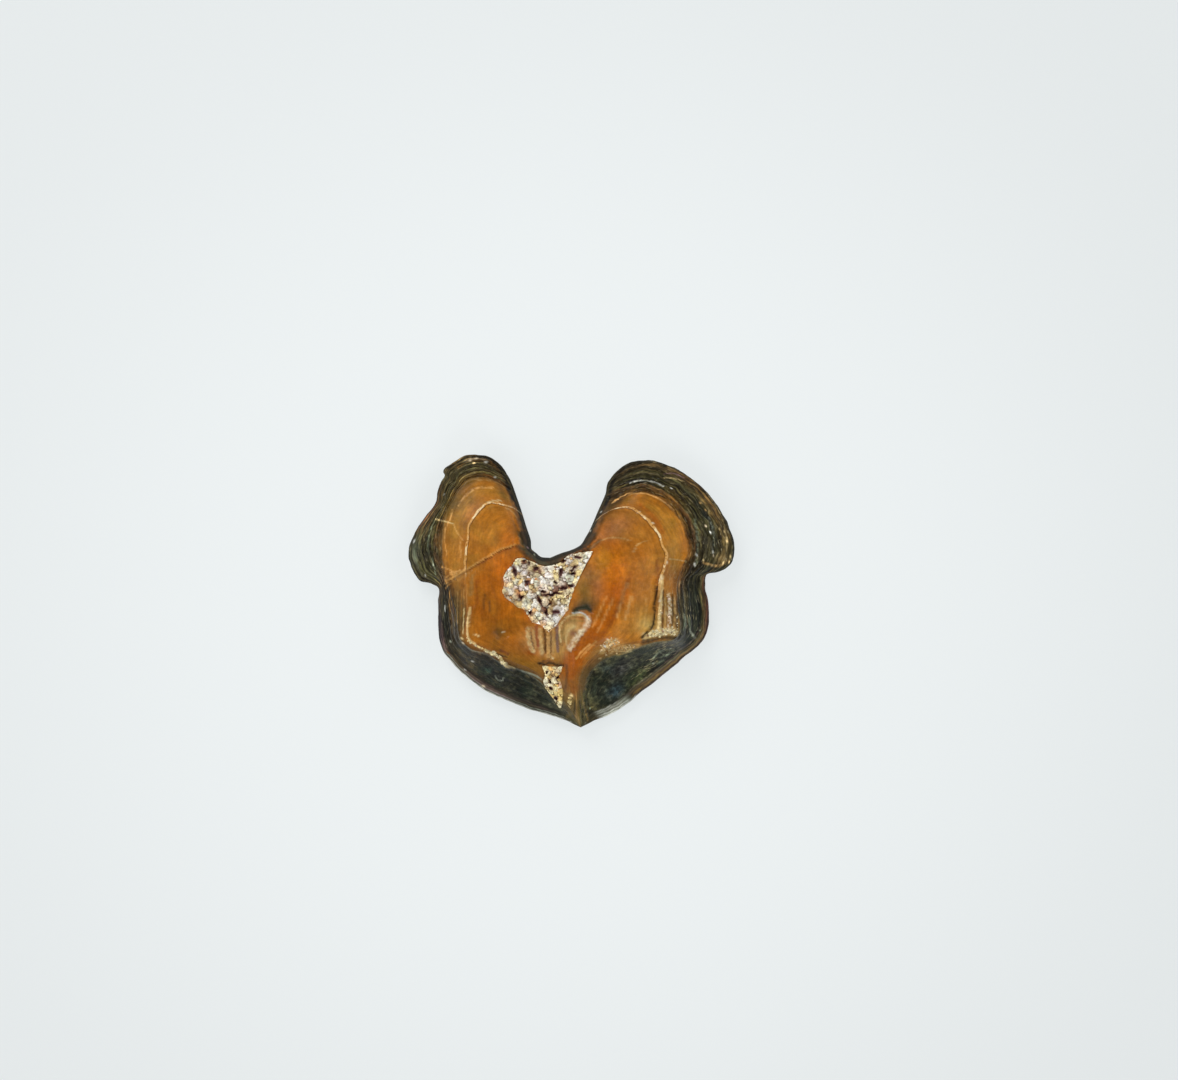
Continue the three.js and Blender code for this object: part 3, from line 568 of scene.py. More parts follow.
# %% Joining the grids
def quads(index):
    """Two triangles for each cell of a grid of point numbers."""
    a, b, c, d = index[:-1, :-1], index[1:, :-1], index[1:, 1:], index[:-1, 1:]
    return np.concatenate([np.stack([a, b, c], -1).reshape(-1, 3), np.stack([a, c, d], -1).reshape(-1, 3)])


def stitch(fine, coarse):
    """Triangles between a fine row and a coarse row that has every third of its stations."""
    b0, b1, b2, b3 = fine[:-1:3], fine[1::3], fine[2::3], fine[3::3]
    c0, c1 = coarse[:-1], coarse[1:]
    corners = ((b0, b1, c0), (b1, c1, c0), (b1, b2, c1), (b2, b3, c1))
    return np.concatenate([np.stack(three, -1) for three in corners])


def coarse_sheet(index, stride=UNDER_STRIDE):
    """Every third line and ray of a grid, with full rows of points on the outline and the notch edge."""
    last = index.shape[0] - 1 - stride
    corner = np.concatenate([index[last:, 0], index[-1, 1 : stride + 1]])
    fan = np.stack([corner[:-1], corner[1:], np.full(len(corner) - 1, index[last, stride])], -1)
    return np.concatenate([
        quads(index[: last + 1 : stride, stride::stride]),
        stitch(index[: last + 1, 0], index[: last + 1 : stride, stride]),
        stitch(index[-1, stride:], index[last, stride::stride]),
        fan,
    ])


# %% Points and triangles of both wings
points, triangles = [], []
for w in shaped:
    start = sum(len(p) for p in points)
    shape = w["top"].shape[:2]
    top_index = start + np.arange(shape[0] * shape[1]).reshape(shape)
    points += [w["top"].reshape(-1, 3), w["bottom"].reshape(-1, 3)]
    sheets = [quads(top_index), coarse_sheet(top_index + top_index.size)[:, ::-1]]
    triangles += [sheet[:, ::-1] if w["wing"]["side"] > 0 else sheet for sheet in sheets]
points, triangles = np.concatenate(points), np.concatenate(triangles)


# %% Welding
WELD_DISTANCE = 1e-4  # mm


def weld(points, triangles):
    """Makes equal points one, drops triangles without area and points without triangles."""
    cells = np.round(points / WELD_DISTANCE).astype(np.int64)
    _, first, same = np.unique(cells, axis=0, return_index=True, return_inverse=True)
    t = same.reshape(-1)[triangles]
    t = t[(t[:, 0] != t[:, 1]) & (t[:, 1] != t[:, 2]) & (t[:, 2] != t[:, 0])]
    used, t = np.unique(t, return_inverse=True)
    return first[used], t.reshape(-1, 3)


keep, triangles = weld(points, triangles)
edges = np.sort(np.concatenate([triangles[:, [0, 1]], triangles[:, [1, 2]], triangles[:, [2, 0]]]), axis=1)
_, shares = np.unique(edges, axis=0, return_counts=True)
print("points:", len(keep), "triangles:", len(triangles), "open edges:", int((shares != 2).sum()))


# %% [markdown]
# ## From arrays to a piece
# Blender can build a mesh point by point, or copy whole arrays into it with `foreach_set`, which is
# much faster. Each array of tints or guides becomes an attribute that a material can read. Every
# piece rides on the one body that the tooth has, its root.

# %% A mesh from arrays
def make_piece(name, points_mm, faces, attributes):
    """A smooth mesh object at the origin from points in mm, triangles and per-point attributes."""
    mesh = bpy.data.meshes.new(name)
    mesh.vertices.add(len(points_mm))
    mesh.vertices.foreach_set("co", (points_mm * MM).astype(np.float32).ravel())
    mesh.loops.add(faces.size)
    mesh.loops.foreach_set("vertex_index", faces.astype(np.int32).ravel())
    mesh.polygons.add(len(faces))
    mesh.polygons.foreach_set("loop_start", np.arange(0, faces.size, 3, dtype=np.int32))
    mesh.update(calc_edges=True)
    for key, values in attributes.items():
        colour = values.ndim == 2
        layer = mesh.attributes.new(key, "FLOAT_COLOR" if colour else "FLOAT", "POINT")
        flat = np.column_stack([values, np.ones(len(values))]) if colour else values
        layer.data.foreach_set("color" if colour else "value", flat.astype(np.float32).ravel())
    mesh.shade_smooth()
    mesh.validate()
    piece = bpy.data.objects.new(name, mesh)
    bpy.context.scene.collection.objects.link(piece)
    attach(piece, "root")
    return piece


# %% [markdown]
# ## Colour that follows the growth
# Stain soaked in along the growth lines, so the ground colours are ramps over growth: one for the
# top of a lobe, one for its side, and one each for the flanks towards the tip. Working the colours
# out as arrays keeps each of them tied to the shape under it, which a painted image would not.

# %% Paint helpers
def srgb(*rgb):
    """A screen colour of 0 to 255 as linear light."""
    c = np.array(rgb) / 255
    return np.where(c < 0.04045, c / 12.92, ((c + 0.055) / 1.055) ** 2.4)


def ramp(stops, value):
    """Colour at value from stops of (value, screen colour), mixed in linear light."""
    at = [stop for stop, _ in stops]
    colours = np.array([srgb(*colour) for _, colour in stops])
    return np.stack([np.interp(value, at, colours[:, i]) for i in range(3)], axis=-1)


def paint(under, colour, mask):
    """Covers under with one screen colour where mask is 1."""
    return under + (srgb(*colour) - under) * np.clip(mask, 0, 1)[..., None]


# %% Enamel colours, on a screen scale of 0 to 255: browns, ambers, greens, mauves, pale tones
INK = (23, 19, 12)
SOOT = (34, 29, 18)
BARK = (47, 37, 22)
PEAT = (60, 48, 27)
UMBER = (78, 56, 28)
RUSSET = (96, 62, 30)
CINNAMON = (104, 76, 42)
DRAB = (76, 68, 42)
TAN = (120, 92, 50)
HAZEL = (146, 118, 66)
AMBER = (150, 98, 35)
HONEY = (166, 106, 36)
FLAME = (164, 86, 14)
SIENNA = (128, 66, 22)
BRICK = (150, 82, 46)
OXBLOOD = (92, 48, 38)
PINE = (30, 34, 25)
MOSS = (44, 46, 33)
OLIVE = (62, 60, 35)
FERN = (86, 82, 48)
SAGE = (92, 96, 70)
LICHEN = (126, 136, 110)
MIST = (160, 166, 146)
PLUM = (42, 35, 38)
MAUVE = (118, 92, 84)
ROSE = (164, 130, 132)
OCHRE = (184, 134, 68)
WHEAT = (198, 158, 98)
STRAW = (210, 184, 128)
APRICOT = (222, 166, 96)
BUTTER = (240, 208, 146)
CREAM = (234, 214, 178)
CHALK = (234, 234, 222)
LIME_GREY = (202, 200, 188)

# %% Ground colours over growth, each with the ray where it holds
HEART = [
    (0, (150, 95, 30)), (0.12, (176, 98, 18)), (0.3, (178, 102, 20)), (0.42, (172, 108, 34)),
    (0.49, (170, 108, 36)), (0.53, (166, 104, 38)), (0.6, (170, 116, 40)), (0.69, (166, 102, 28)),
]
RIGHT["ramps"] = [
    (0.1, HEART + [
        (0.703, OCHRE), (0.712, UMBER), (0.728, TAN), (0.742, PEAT), (0.758, CINNAMON), (0.774, BARK),
        (0.786, SOOT), (0.797, FERN), (0.81, INK), (0.825, SOOT), (0.84, OLIVE), (0.852, SOOT),
        (0.868, DRAB), (0.88, BARK), (0.895, FERN), (0.908, BARK), (0.925, DRAB), (0.937, BARK),
        (0.952, CINNAMON), (0.965, BARK), (0.978, RUSSET), (0.99, SOOT), (1, INK),
    ]),
    (0.3, HEART + [
        (0.703, HONEY), (0.712, RUSSET), (0.728, UMBER), (0.742, BARK), (0.758, RUSSET), (0.774, PEAT),
        (0.79, FERN), (0.803, BARK), (0.818, OLIVE), (0.832, SOOT), (0.848, OLIVE), (0.862, SOOT),
        (0.88, MOSS), (0.895, PINE), (0.912, DRAB), (0.926, PEAT), (0.943, HAZEL), (0.957, UMBER),
        (0.97, TAN), (0.985, BARK), (1, INK),
    ]),
    (0.47, HEART + [
        (0.705, AMBER), (0.72, UMBER), (0.76, BARK), (0.82, SOOT), (0.87, OLIVE), (0.92, BARK),
        (0.97, OLIVE), (1, INK),
    ]),
    (0.56, HEART + [
        (0.705, TAN), (0.72, MOSS), (0.76, PINE), (0.785, DRAB), (0.81, PINE), (0.85, MOSS),
        (0.88, PINE), (0.92, PINE), (0.945, FERN), (0.965, UMBER), (0.985, OXBLOOD), (1, BARK),
    ]),
    (0.68, HEART[:-2] + [
        (0.6, HONEY), (0.68, TAN), (0.705, FERN), (0.72, MOSS), (0.78, PINE), (0.84, MOSS), (0.9, MOSS),
        (0.93, SOOT), (0.947, SAGE), (0.962, MAUVE), (0.98, PEAT), (1, MAUVE),
    ]),
    (1, [(0, TAN), (0.3, TAN), (0.7, FERN), (0.85, MOSS), (1, BARK)]),
]
LEFT["ramps"] = [
    (0.1, HEART[:-1] + [
        (0.655, HONEY), (0.68, AMBER), (0.7, CINNAMON), (0.725, RUSSET), (0.75, UMBER), (0.77, FERN),
        (0.79, PEAT), (0.81, PEAT), (0.825, FERN), (0.84, BARK), (0.855, DRAB), (0.87, SOOT),
        (0.885, DRAB), (0.9, BARK), (0.915, CINNAMON), (0.93, PEAT), (0.945, CINNAMON), (0.96, UMBER),
        (0.975, CINNAMON), (0.988, BARK), (1, INK),
    ]),
    (0.36, HEART[:-1] + [
        (0.67, AMBER), (0.7, TAN), (0.72, CINNAMON), (0.745, UMBER), (0.762, CINNAMON), (0.778, PEAT),
        (0.795, FERN), (0.812, BARK), (0.83, SAGE), (0.845, INK), (0.862, DRAB), (0.877, BARK),
        (0.895, FERN), (0.91, BARK), (0.925, FERN), (0.945, SAGE), (0.963, BARK), (0.98, OLIVE),
        (1, INK),
    ]),
    (0.47, HEART + [
        (0.705, TAN), (0.73, UMBER), (0.8, BARK), (0.86, OLIVE), (0.92, FERN), (0.97, PEAT), (1, INK),
    ]),
    (0.57, HEART[:-4] + [
        (0.51, AMBER), (0.55, CINNAMON), (0.6, TAN), (0.66, CINNAMON), (0.7, UMBER), (0.74, SOOT),
        (0.77, OLIVE), (0.79, SOOT), (0.86, PINE), (0.9, MOSS), (0.93, PLUM), (0.97, PLUM), (1, PLUM),
    ]),
    (0.68, HEART[:-2] + [
        (0.6, AMBER), (0.69, CINNAMON), (0.705, SAGE), (0.72, MOSS), (0.8, PINE), (0.88, BARK),
        (0.925, SOOT), (0.945, MAUVE), (0.965, MAUVE), (0.985, MOSS), (1, LICHEN),
    ]),
    (1, [(0, TAN), (0.3, TAN), (0.7, DRAB), (0.85, MOSS), (1, PINE)]),
]


# %% Blending the ramps
HAZE = (68, 62, 37)
HAZE_SHARE = {1: 0.4, -1: 0.75}  # of the right and the left lobe


def ground(w):
    """Sum of a wing's ramps, each weighted by a tent round its own ray, with a cloudy haze over it."""
    x, y, side = w["top"][..., 0], w["top"][..., 1], w["wing"]["side"]
    g = w["growth"] + 0.007 * smooth(0.69, 0.74, w["growth"]) * drift(x, y, 0.13, 27, 2)
    at = np.array([where for where, _ in w["wing"]["ramps"]])
    total = np.zeros((*g.shape, 3))
    for k, (_, stops) in enumerate(w["wing"]["ramps"]):
        weight = np.interp(w["ray"] + 0.02 * drift(x, y, 0.4, 22), at, np.eye(len(at))[k])
        total += weight[..., None] * ramp(stops, g)
    share = HAZE_SHARE[side] * smooth(0.7, 0.75, g) * smooth(0.6, 0.5, w["ray"])
    return paint(total, HAZE, share * smooth(-0.1, 0.45, drift(x, y, 0.24, 28, 3)))


print("ramps:", len(RIGHT["ramps"]), "right,", len(LEFT["ramps"]), "left")


# %% [markdown]
# ## Stains and lines
# Over the ground come soft stains, thin pale lines along the growth, dark cracks, and small
# painted glints, bright spots that stand in for light caught where the enamel is chipped. Some
# lines and edge bands are painted light and shade too: highlights along ledges and the crack, and
# shade on the steep wall of the notch and along the rounded outline. They are accidents of one
# specimen, so no formula gives their places. Each is a row: where, how big, what colour and how
# strong. A row is easier to correct than code, and the loops that paint them stay short.

# %% Stains: centre, radii in mm, turn in degrees, colour, strength
STAINS = [
    ((1.16, 0.7), (0.5, 0.9), 8, (194, 106, 8), 0.8),
    ((1.39, 2.07), (0.72, 0.42), 20, (156, 103, 60), 0.85),
    ((2.38, 0.43), (0.46, 1.1), 6, (172, 108, 42), 0.6),
    ((2.57, 0.04), (0.3, 0.8), 6, (172, 118, 50), 0.5),
    ((2.34, -0.88), (0.36, 0.5), 0, (172, 136, 70), 0.6),
    ((3.16, -0.68), (0.3, 0.7), 0, (150, 116, 66), 0.6),
    # painted shade on the slope beside the sand's hollow
    ((0.61, 0.57), (0.34, 0.5), 0, (142, 102, 50), 0.6),
    ((1.03, 1.02), (0.3, 0.4), 0, (174, 118, 30), 0.5),
    ((2.25, 1.84), (0.35, 0.4), 0, (172, 116, 44), 0.5),
    ((3.3, 1.68), (0.3, 0.9), 0, (184, 130, 40), 0.65),
    ((2.25, 2.93), (0.8, 0.26), 0, (160, 100, 26), 0.7),
    # this stain and the next: painted shade where the plate slopes down into the sand's hollow
    ((0.44, 0.04), (0.32, 0.55), 15, (132, 100, 44), 0.95),
    ((0.84, 0.11), (0.26, 0.36), 0, (150, 98, 62), 0.6),
    ((0.38, -0.32), (0.3, 0.18), 8, (96, 86, 50), 0.5),
    ((0.44, -0.48), (0.32, 0.17), 8, (44, 52, 42), 0.95),
    ((-3.82, 2.83), (0.26, 0.5), -35, (100, 80, 32), 0.85),
    ((-3.33, 3.61), (0.4, 0.2), 30, (120, 90, 36), 0.7),
    ((-0.93, -1.7), (0.55, 0.35), 0, (200, 160, 108), 0.6),
    ((2.48, -1.07), (0.3, 0.26), 0, (196, 164, 94), 0.8),
    ((3.26, 0.53), (0.3, 0.5), 0, (160, 108, 70), 0.5), ((2.57, 3.98), (0.8, 0.16), 0, (70, 62, 38), 0.4),
    ((-2.57, 2.01), (0.66, 0.8), 0, (186, 124, 44), 0.75),
    ((-2.08, 1.78), (0.3, 0.34), 0, (180, 102, 22), 0.7),
    ((-2.87, -0.12), (0.38, 1.2), 0, (168, 94, 18), 0.85),
    ((-2.48, -0.75), (0.36, 0.5), 0, (142, 82, 18), 0.75),
    ((-2.15, 0.76), (0.36, 0.42), 0, (174, 92, 18), 0.7),
    ((-1.85, -1.01), (0.36, 0.45), 0, (150, 88, 24), 0.6),
    ((-2.34, -1.3), (0.26, 0.22), 0, (98, 68, 30), 0.85),
    ((-2.51, -1.8), (0.7, 0.25), -12, (138, 82, 26), 0.6),
    ((-1.36, -2.25), (0.5, 0.24), -10, (136, 96, 26), 0.8),
    ((-3.75, 1.52), (0.3, 0.7), 0, (182, 124, 54), 0.6),
    ((-4.11, 0.2), (0.22, 0.5), 0, (104, 70, 34), 0.75),
    ((-4.02, -0.68), (0.12, 0.55), 0, (40, 38, 26), 0.6),
    # a painted grey-blue sheen on the left lobe's outer side
    ((-5.1, 1.29), (0.14, 0.4), 0, (92, 102, 88), 0.5),
    ((-4.8, 2.53), (0.2, 0.55), -33, (122, 72, 42), 0.7),
    ((-4.57, 3.06), (0.16, 0.3), -25, (114, 68, 42), 0.6),
    ((-1, -1.6), (0.5, 0.5), 0, (180, 134, 76), 0.85),
    ((0.02, -1.2), (0.36, 0.46), -20, (194, 158, 100), 0.85),
    ((0.05, -1.34), (0.14, 0.12), 0, (120, 74, 56), 0.8),
    ((-0.44, -1.96), (0.3, 0.26), 0, (178, 128, 66), 0.75),
    ((0.31, -3.96), (0.5, 0.42), 0, (98, 88, 46), 0.85),
    # the first stain here: a painted bluish reflection on the right facet
    ((1.49, -3.24), (0.32, 0.2), 35, (50, 76, 86), 0.6), ((0.8, -3.24), (0.3, 0.3), 0, (26, 32, 28), 0.7),
    ((1.82, -3.57), (0.3, 0.16), 30, (24, 28, 22), 0.6),
    ((1.13, -2.52), (0.3, 0.16), -30, (50, 66, 66), 0.5),
    ((2.11, -2.84), (0.46, 0.3), 35, (74, 82, 46), 0.6),
    ((1.59, -2.52), (0.4, 0.3), 30, (46, 44, 52), 0.5),
    ((-2.61, -2.52), (0.4, 0.2), -30, (32, 30, 40), 0.6),
    ((-2.41, -2.78), (1.2, 0.36), -28, (26, 28, 18), 0.55),
    ((-2.77, -2.58), (0.2, 0.12), 0, (46, 70, 54), 0.6),
    ((-3.59, -2.32), (0.4, 0.35), -40, (66, 54, 26), 0.7),
    ((-1.69, -3.43), (0.6, 0.3), -25, (34, 38, 28), 0.6),
    ((-3.2, -2.65), (0.4, 0.12), -40, (56, 42, 20), 0.6),
    ((-3.92, -2.32), (0.3, 0.12), -50, (70, 52, 26), 0.6),
    ((-2.25, -3.24), (0.3, 0.12), -30, (62, 54, 34), 0.5),
    ((-0.64, 1.06), (0.3, 0.12), 0, (52, 38, 46), 0.8),
    ((1.33, 2.89), (0.52, 0.22), 48, (84, 62, 28), 0.9),
    ((1.56, 3.06), (0.45, 0.22), 52, (44, 30, 8), 0.85),
    ((-4.05, 0.17), (0.16, 0.26), 0, (48, 28, 2), 0.9),
    ((-3.82, -0.61), (0.22, 0.45), 0, (38, 26, 6), 0.8),
    ((-3.59, -1.04), (0.2, 0.25), -40, (70, 46, 18), 0.75),
    ((-2.8, -2.12), (0.3, 0.12), -30, (36, 28, 14), 0.9),
    ((-3.62, -1.99), (0.3, 0.16), -40, (40, 30, 4), 0.7),
    ((-3.82, -1.47), (0.2, 0.4), 15, (36, 30, 12), 0.6),
    ((-2.34, -2.48), (0.9, 0.3), -28, (14, 17, 10), 0.4),
    ((-1.69, -2.91), (0.5, 0.2), -28, (14, 17, 8), 0.4),
    ((-0.44, -3.8), (0.4, 0.2), -25, (20, 20, 12), 0.4),
    ((3.95, -1.8), (0.35, 0.2), 40, (34, 32, 16), 0.6), ((4.41, -0.22), (0.08, 0.4), 0, (44, 44, 24), 0.6),
    ((0.74, -2.78), (0.4, 0.3), 35, (20, 24, 16), 0.45),
    ((3.43, -0.71), (0.1, 0.45), 0, (34, 30, 14), 0.9), ((3.43, 0.34), (0.12, 0.3), 0, (78, 54, 22), 0.6),
    ((-1.39, 1.25), (0.16, 0.08), -40, (70, 66, 56), 0.9),
    ((0.61, 1.88), (0.4, 0.12), 60, (110, 78, 38), 0.6),
    ((-3.79, -0.61), (0.26, 0.7), 0, (80, 58, 28), 0.6),
    ((1.66, -1.14), (0.3, 0.5), -15, (188, 134, 60), 0.5),
    ((0.44, -2.32), (0.25, 0.2), 20, (156, 104, 50), 0.6),
    ((-3.16, 0.96), (0.4, 0.3), 0, (180, 118, 44), 0.5),
    ((4.93, 1.06), (0.2, 0.16), 0, (158, 132, 84), 0.6),
    ((4.44, 1.42), (0.2, 0.3), 0, (116, 106, 74), 0.45),
    ((3.62, 3.78), (0.32, 0.14), -30, (64, 48, 30), 0.65),
    ((4.67, 2.83), (0.2, 0.24), 0, (62, 44, 28), 0.55),
    ((-2.25, 3.25), (0.16, 0.45), 28, (80, 62, 32), 0.65),
    ((-4.25, 1.25), (0.1, 0.35), 0, (60, 52, 32), 0.6), ((0.8, -2.98), (0.25, 0.32), 0, (28, 32, 24), 0.6),
    ((0.64, -4.06), (0.2, 0.16), 35, (30, 30, 22), 0.8),
    ((-1.3, -1.99), (0.24, 0.22), 0, (146, 66, 0), 0.85),
]

# %% Lines: broad soft bands of the heart
LINES = [  # path, half width in mm, colour, strength, beads
    ([(1.52, 0.04), (1.26, -0.45), (0.93, -1.01), (0.54, -1.53), (0.18, -1.99), (-0.08, -2.52)],
        0.3, FLAME, 0.75, 0),
    ([(2.25, 2.8), (2.57, 2.53), (2.8, 2.24), (2.97, 1.94)], 0.07, FLAME, 0.5, 0),
    ([(0.15, -1.93), (0.11, -2.32), (0.08, -2.75), (0.07, -3.11)], 0.2, FLAME, 0.4, 0),
    ([(-0.16, -2.39), (-0.15, -2.84), (-0.23, -3.24)], 0.045, RUSSET, 0.75, 0.4),
    ([(0.87, -2.19), (0.61, -2.45), (0.44, -2.78), (0.38, -3.17)], 0.09, CINNAMON, 0.65, 0.2),
    ([(-3.2, 0.53), (-3.23, 0.2), (-3.25, -0.09)], 0.06, HAZEL, 0.55, 0.2),
    ([(-3.05, 0.37), (-3.07, -0.02), (-3.03, -0.35)], 0.04, SIENNA, 0.55, 0),
    ([(-2.8, -0.09), (-2.82, -0.42), (-2.8, -0.65)], 0.03, RUSSET, 0.6, 0),
    ([(-3.62, -0.29), (-3.64, -0.68), (-3.61, -1.2)], 0.06, HAZEL, 0.36, 0.3),
    ([(-0.7, 1.06), (-0.44, 1.14), (-0.18, 1.27), (0.08, 1.39), (0.34, 1.5), (0.57, 1.65), (0.7, 1.84)],
        0.12, BARK, 0.9, 0.2),
    ([(-1.69, 1.45), (-1.52, 1.25), (-1.3, 1.07), (-1.03, 0.94), (-0.77, 0.89), (-0.51, 0.98)],
        0.09, PEAT, 0.85, 0.2),
]

# %% Lines: right wing, pale
LINES += [
    ([(0.61, 1.39), (0.77, 1.55), (1, 1.68), (1.26, 1.75), (1.66, 1.73), (1.92, 1.65)],
        0.022, WHEAT, 0.6, 0.3),
    ([(2.02, 1.29), (2.15, 1.52), (2.28, 1.61), (2.48, 1.65)], 0.02, STRAW, 0.5, 0.4),
    ([(1.82, 0.27), (1.72, 0.04), (1.59, -0.39), (1.46, -0.81)], 0.045, WHEAT, 0.5, 0.1),
    ([(1.95, -0.16), (1.85, -0.48), (1.75, -0.88)], 0.045, WHEAT, 0.5, 0.1),
    ([(1.33, 2.89), (1.59, 3.07), (1.85, 3.19), (2.15, 3.2), (2.41, 3.19), (2.67, 3.11), (2.9, 2.99),
        (3.13, 2.84), (3.33, 2.66)], 0.022, APRICOT, 0.8, 0.3),
    ([(3.16, 1.06), (3.43, 1.04), (3.72, 0.99)], 0.018, STRAW, 0.6, 0.5),
    # a painted highlight along a ledge of the right lobe
    ([(1.92, 3.55), (2.11, 3.6), (2.34, 3.62), (2.57, 3.6), (2.8, 3.53), (3, 3.43)],
        0.016, CHALK, 0.9, 0.5),
    ([(1.59, 3.34), (1.98, 3.52), (2.41, 3.54), (2.77, 3.46), (3.03, 3.32)], 0.02, INK, 0.8, 0),
    ([(3.03, 3.71), (3.3, 3.7), (3.52, 3.65), (3.69, 3.58)], 0.018, STRAW, 0.6, 0.7),
    ([(3.03, 3.84), (3.3, 3.86), (3.69, 3.71)], 0.016, ROSE, 0.6, 0.4),
    ([(4.41, 3.25), (4.67, 2.89), (4.87, 2.53), (5, 2.14), (5.08, 1.68), (5.07, 1.29)],
        0.022, STRAW, 0.5, 0.7),
    ([(4.48, 2.43), (4.61, 2.07), (4.64, 1.68), (4.61, 1.25)], 0.03, MIST, 0.4, 0.9),
    ([(4.02, 2.34), (4.08, 2.01), (4.11, 1.52), (4.08, 0.96)], 0.04, LICHEN, 0.5, 0.8),
    ([(1.66, 3.84), (1.98, 4.06), (2.41, 4.14), (2.9, 4.11), (3.39, 3.94), (3.89, 3.68), (4.28, 3.35)],
        0.03, TAN, 0.6, 0.4),
    ([(4.34, 0.93), (4.64, 0.84), (4.9, 0.86), (5.13, 1.02)], 0.04, WHEAT, 0.75, 0.6),
    ([(2.77, 1.02), (2.8, 0.63), (2.79, 0.24), (2.75, -0.02)], 0.035, SIENNA, 0.7, 0.2),
    ([(1.92, 0.63), (1.79, 0.2), (1.59, -0.29), (1.36, -0.81), (1.03, -1.4)], 0.045, SIENNA, 0.5, 0),
    ([(1.13, -0.16), (0.93, -0.61), (0.67, -1.14)], 0.04, APRICOT, 0.32, 0),
    ([(1.36, -0.22), (1.13, -0.71), (0.84, -1.3)], 0.04, APRICOT, 0.3, 0),
    ([(1.49, -0.61), (1.26, -1.07), (1, -1.47)], 0.042, SIENNA, 0.42, 0),
    ([(2.41, -0.22), (2.44, -0.68), (2.38, -1.17)], 0.03, WHEAT, 0.4, 0.6),
    ([(2.11, -0.42), (2.15, -0.88), (2.05, -1.34)], 0.025, OCHRE, 0.4, 0.6),
]

# %% Lines: right wing, lower
LINES += [
    ([(1, -1.93), (1.13, -1.75), (1.3, -1.63), (1.46, -1.6)], 0.1, WHEAT, 0.8, 0.5),
    ([(1.26, -1.86), (1.46, -1.8), (1.66, -1.76), (1.92, -1.78), (2.18, -1.75)], 0.08, WHEAT, 0.75, 0.5),
    ([(1.23, -1.99), (1.46, -1.91), (1.72, -1.91), (1.95, -1.88)], 0.04, STRAW, 0.6, 0.7),
    ([(2.41, -1.44), (2.57, -1.4), (2.7, -1.35), (2.9, -1.31), (3.13, -1.28), (3.33, -1.3)],
        0.13, STRAW, 0.9, 0.25),
    ([(2.83, -1.24), (2.87, -0.68), (2.92, -0.09), (2.95, 0.5)], 0.055, BUTTER, 0.95, 0.35),
    ([(3.02, -1.27), (3.04, -0.68), (3.03, -0.22)], 0.035, WHEAT, 0.7, 0.5),
    ([(3.13, -1.27), (3.2, -0.68), (3.16, -0.09)], 0.055, CREAM, 0.85, 0.95),
    ([(3.33, -1.27), (3.36, -0.78), (3.34, -0.22)], 0.04, WHEAT, 0.7, 0.6),
    ([(3.46, -1.3), (3.48, -0.94), (3.46, -0.61)], 0.03, HAZEL, 0.6, 0.8),
    ([(2.95, -1.27), (2.97, -0.61), (2.99, 0.04)], 0.026, RUSSET, 0.85, 0.1),
    ([(3.26, -1.27), (3.29, -0.68), (3.28, -0.09)], 0.028, UMBER, 0.85, 0.2),
    ([(3.1, -1.27), (3.11, -0.68), (3.1, -0.22)], 0.02, RUSSET, 0.7, 0.2),
    ([(3.41, -1.27), (3.43, -0.75), (3.41, -0.29)], 0.022, UMBER, 0.8, 0.2),
    ([(3.67, -0.75), (3.7, -1.01), (3.66, -1.24)], 0.035, LICHEN, 0.65, 0.5),
    ([(3.82, -0.81), (3.84, -1.07), (3.89, -1.3)], 0.03, LICHEN, 0.6, 0.5),
    ([(3.85, -1.24), (3.95, -1.4), (4.05, -1.52)], 0.035, MIST, 0.65, 0.4),
    ([(4.05, -0.48), (4.07, -0.94), (4.03, -1.27)], 0.02, SAGE, 0.5, 0.4),
    ([(2.66, -2.22), (2.77, -2.06), (2.93, -1.94), (3.1, -1.86)], 0.03, LICHEN, 0.65, 0.6),
    ([(2.84, -1.86), (2.93, -2.02), (3.1, -2.07), (3.23, -1.99)], 0.022, LICHEN, 0.65, 0.4),
    ([(2.9, -2.16), (3.07, -2.12), (3.23, -2.01), (3.33, -1.93)], 0.03, LICHEN, 0.65, 0.6),
    ([(2.77, -2.39), (2.93, -2.29), (3.1, -2.24)], 0.03, LICHEN, 0.55, 0.6),
    ([(2.18, -2.68), (2.41, -2.53), (2.64, -2.42), (2.8, -2.29)], 0.05, FERN, 0.55, 0.6),
    ([(1.18, -2.1), (1.36, -2.04), (1.57, -2.02), (1.85, -1.96)], 0.025, HAZEL, 0.65, 0.4),
    ([(2.31, -1.61), (2.57, -1.55), (2.87, -1.48), (3.16, -1.47), (3.36, -1.5)], 0.06, BARK, 0.85, 0.2),
    ([(2.77, 0.17), (2.74, -0.02), (2.7, -0.42), (2.67, -0.81), (2.62, -1.11), (2.49, -1.27),
        (2.28, -1.47)], 0.042, INK, 1, 0.1),
    ([(1.33, 3.71), (1.66, 4.01), (2.08, 4.17), (2.41, 4.24)], 0.026, CINNAMON, 0.6, 0.3),
    ([(2.57, 4.25), (2.9, 4.19), (3.2, 4.06)], 0.028, TAN, 0.75, 0.3),
]

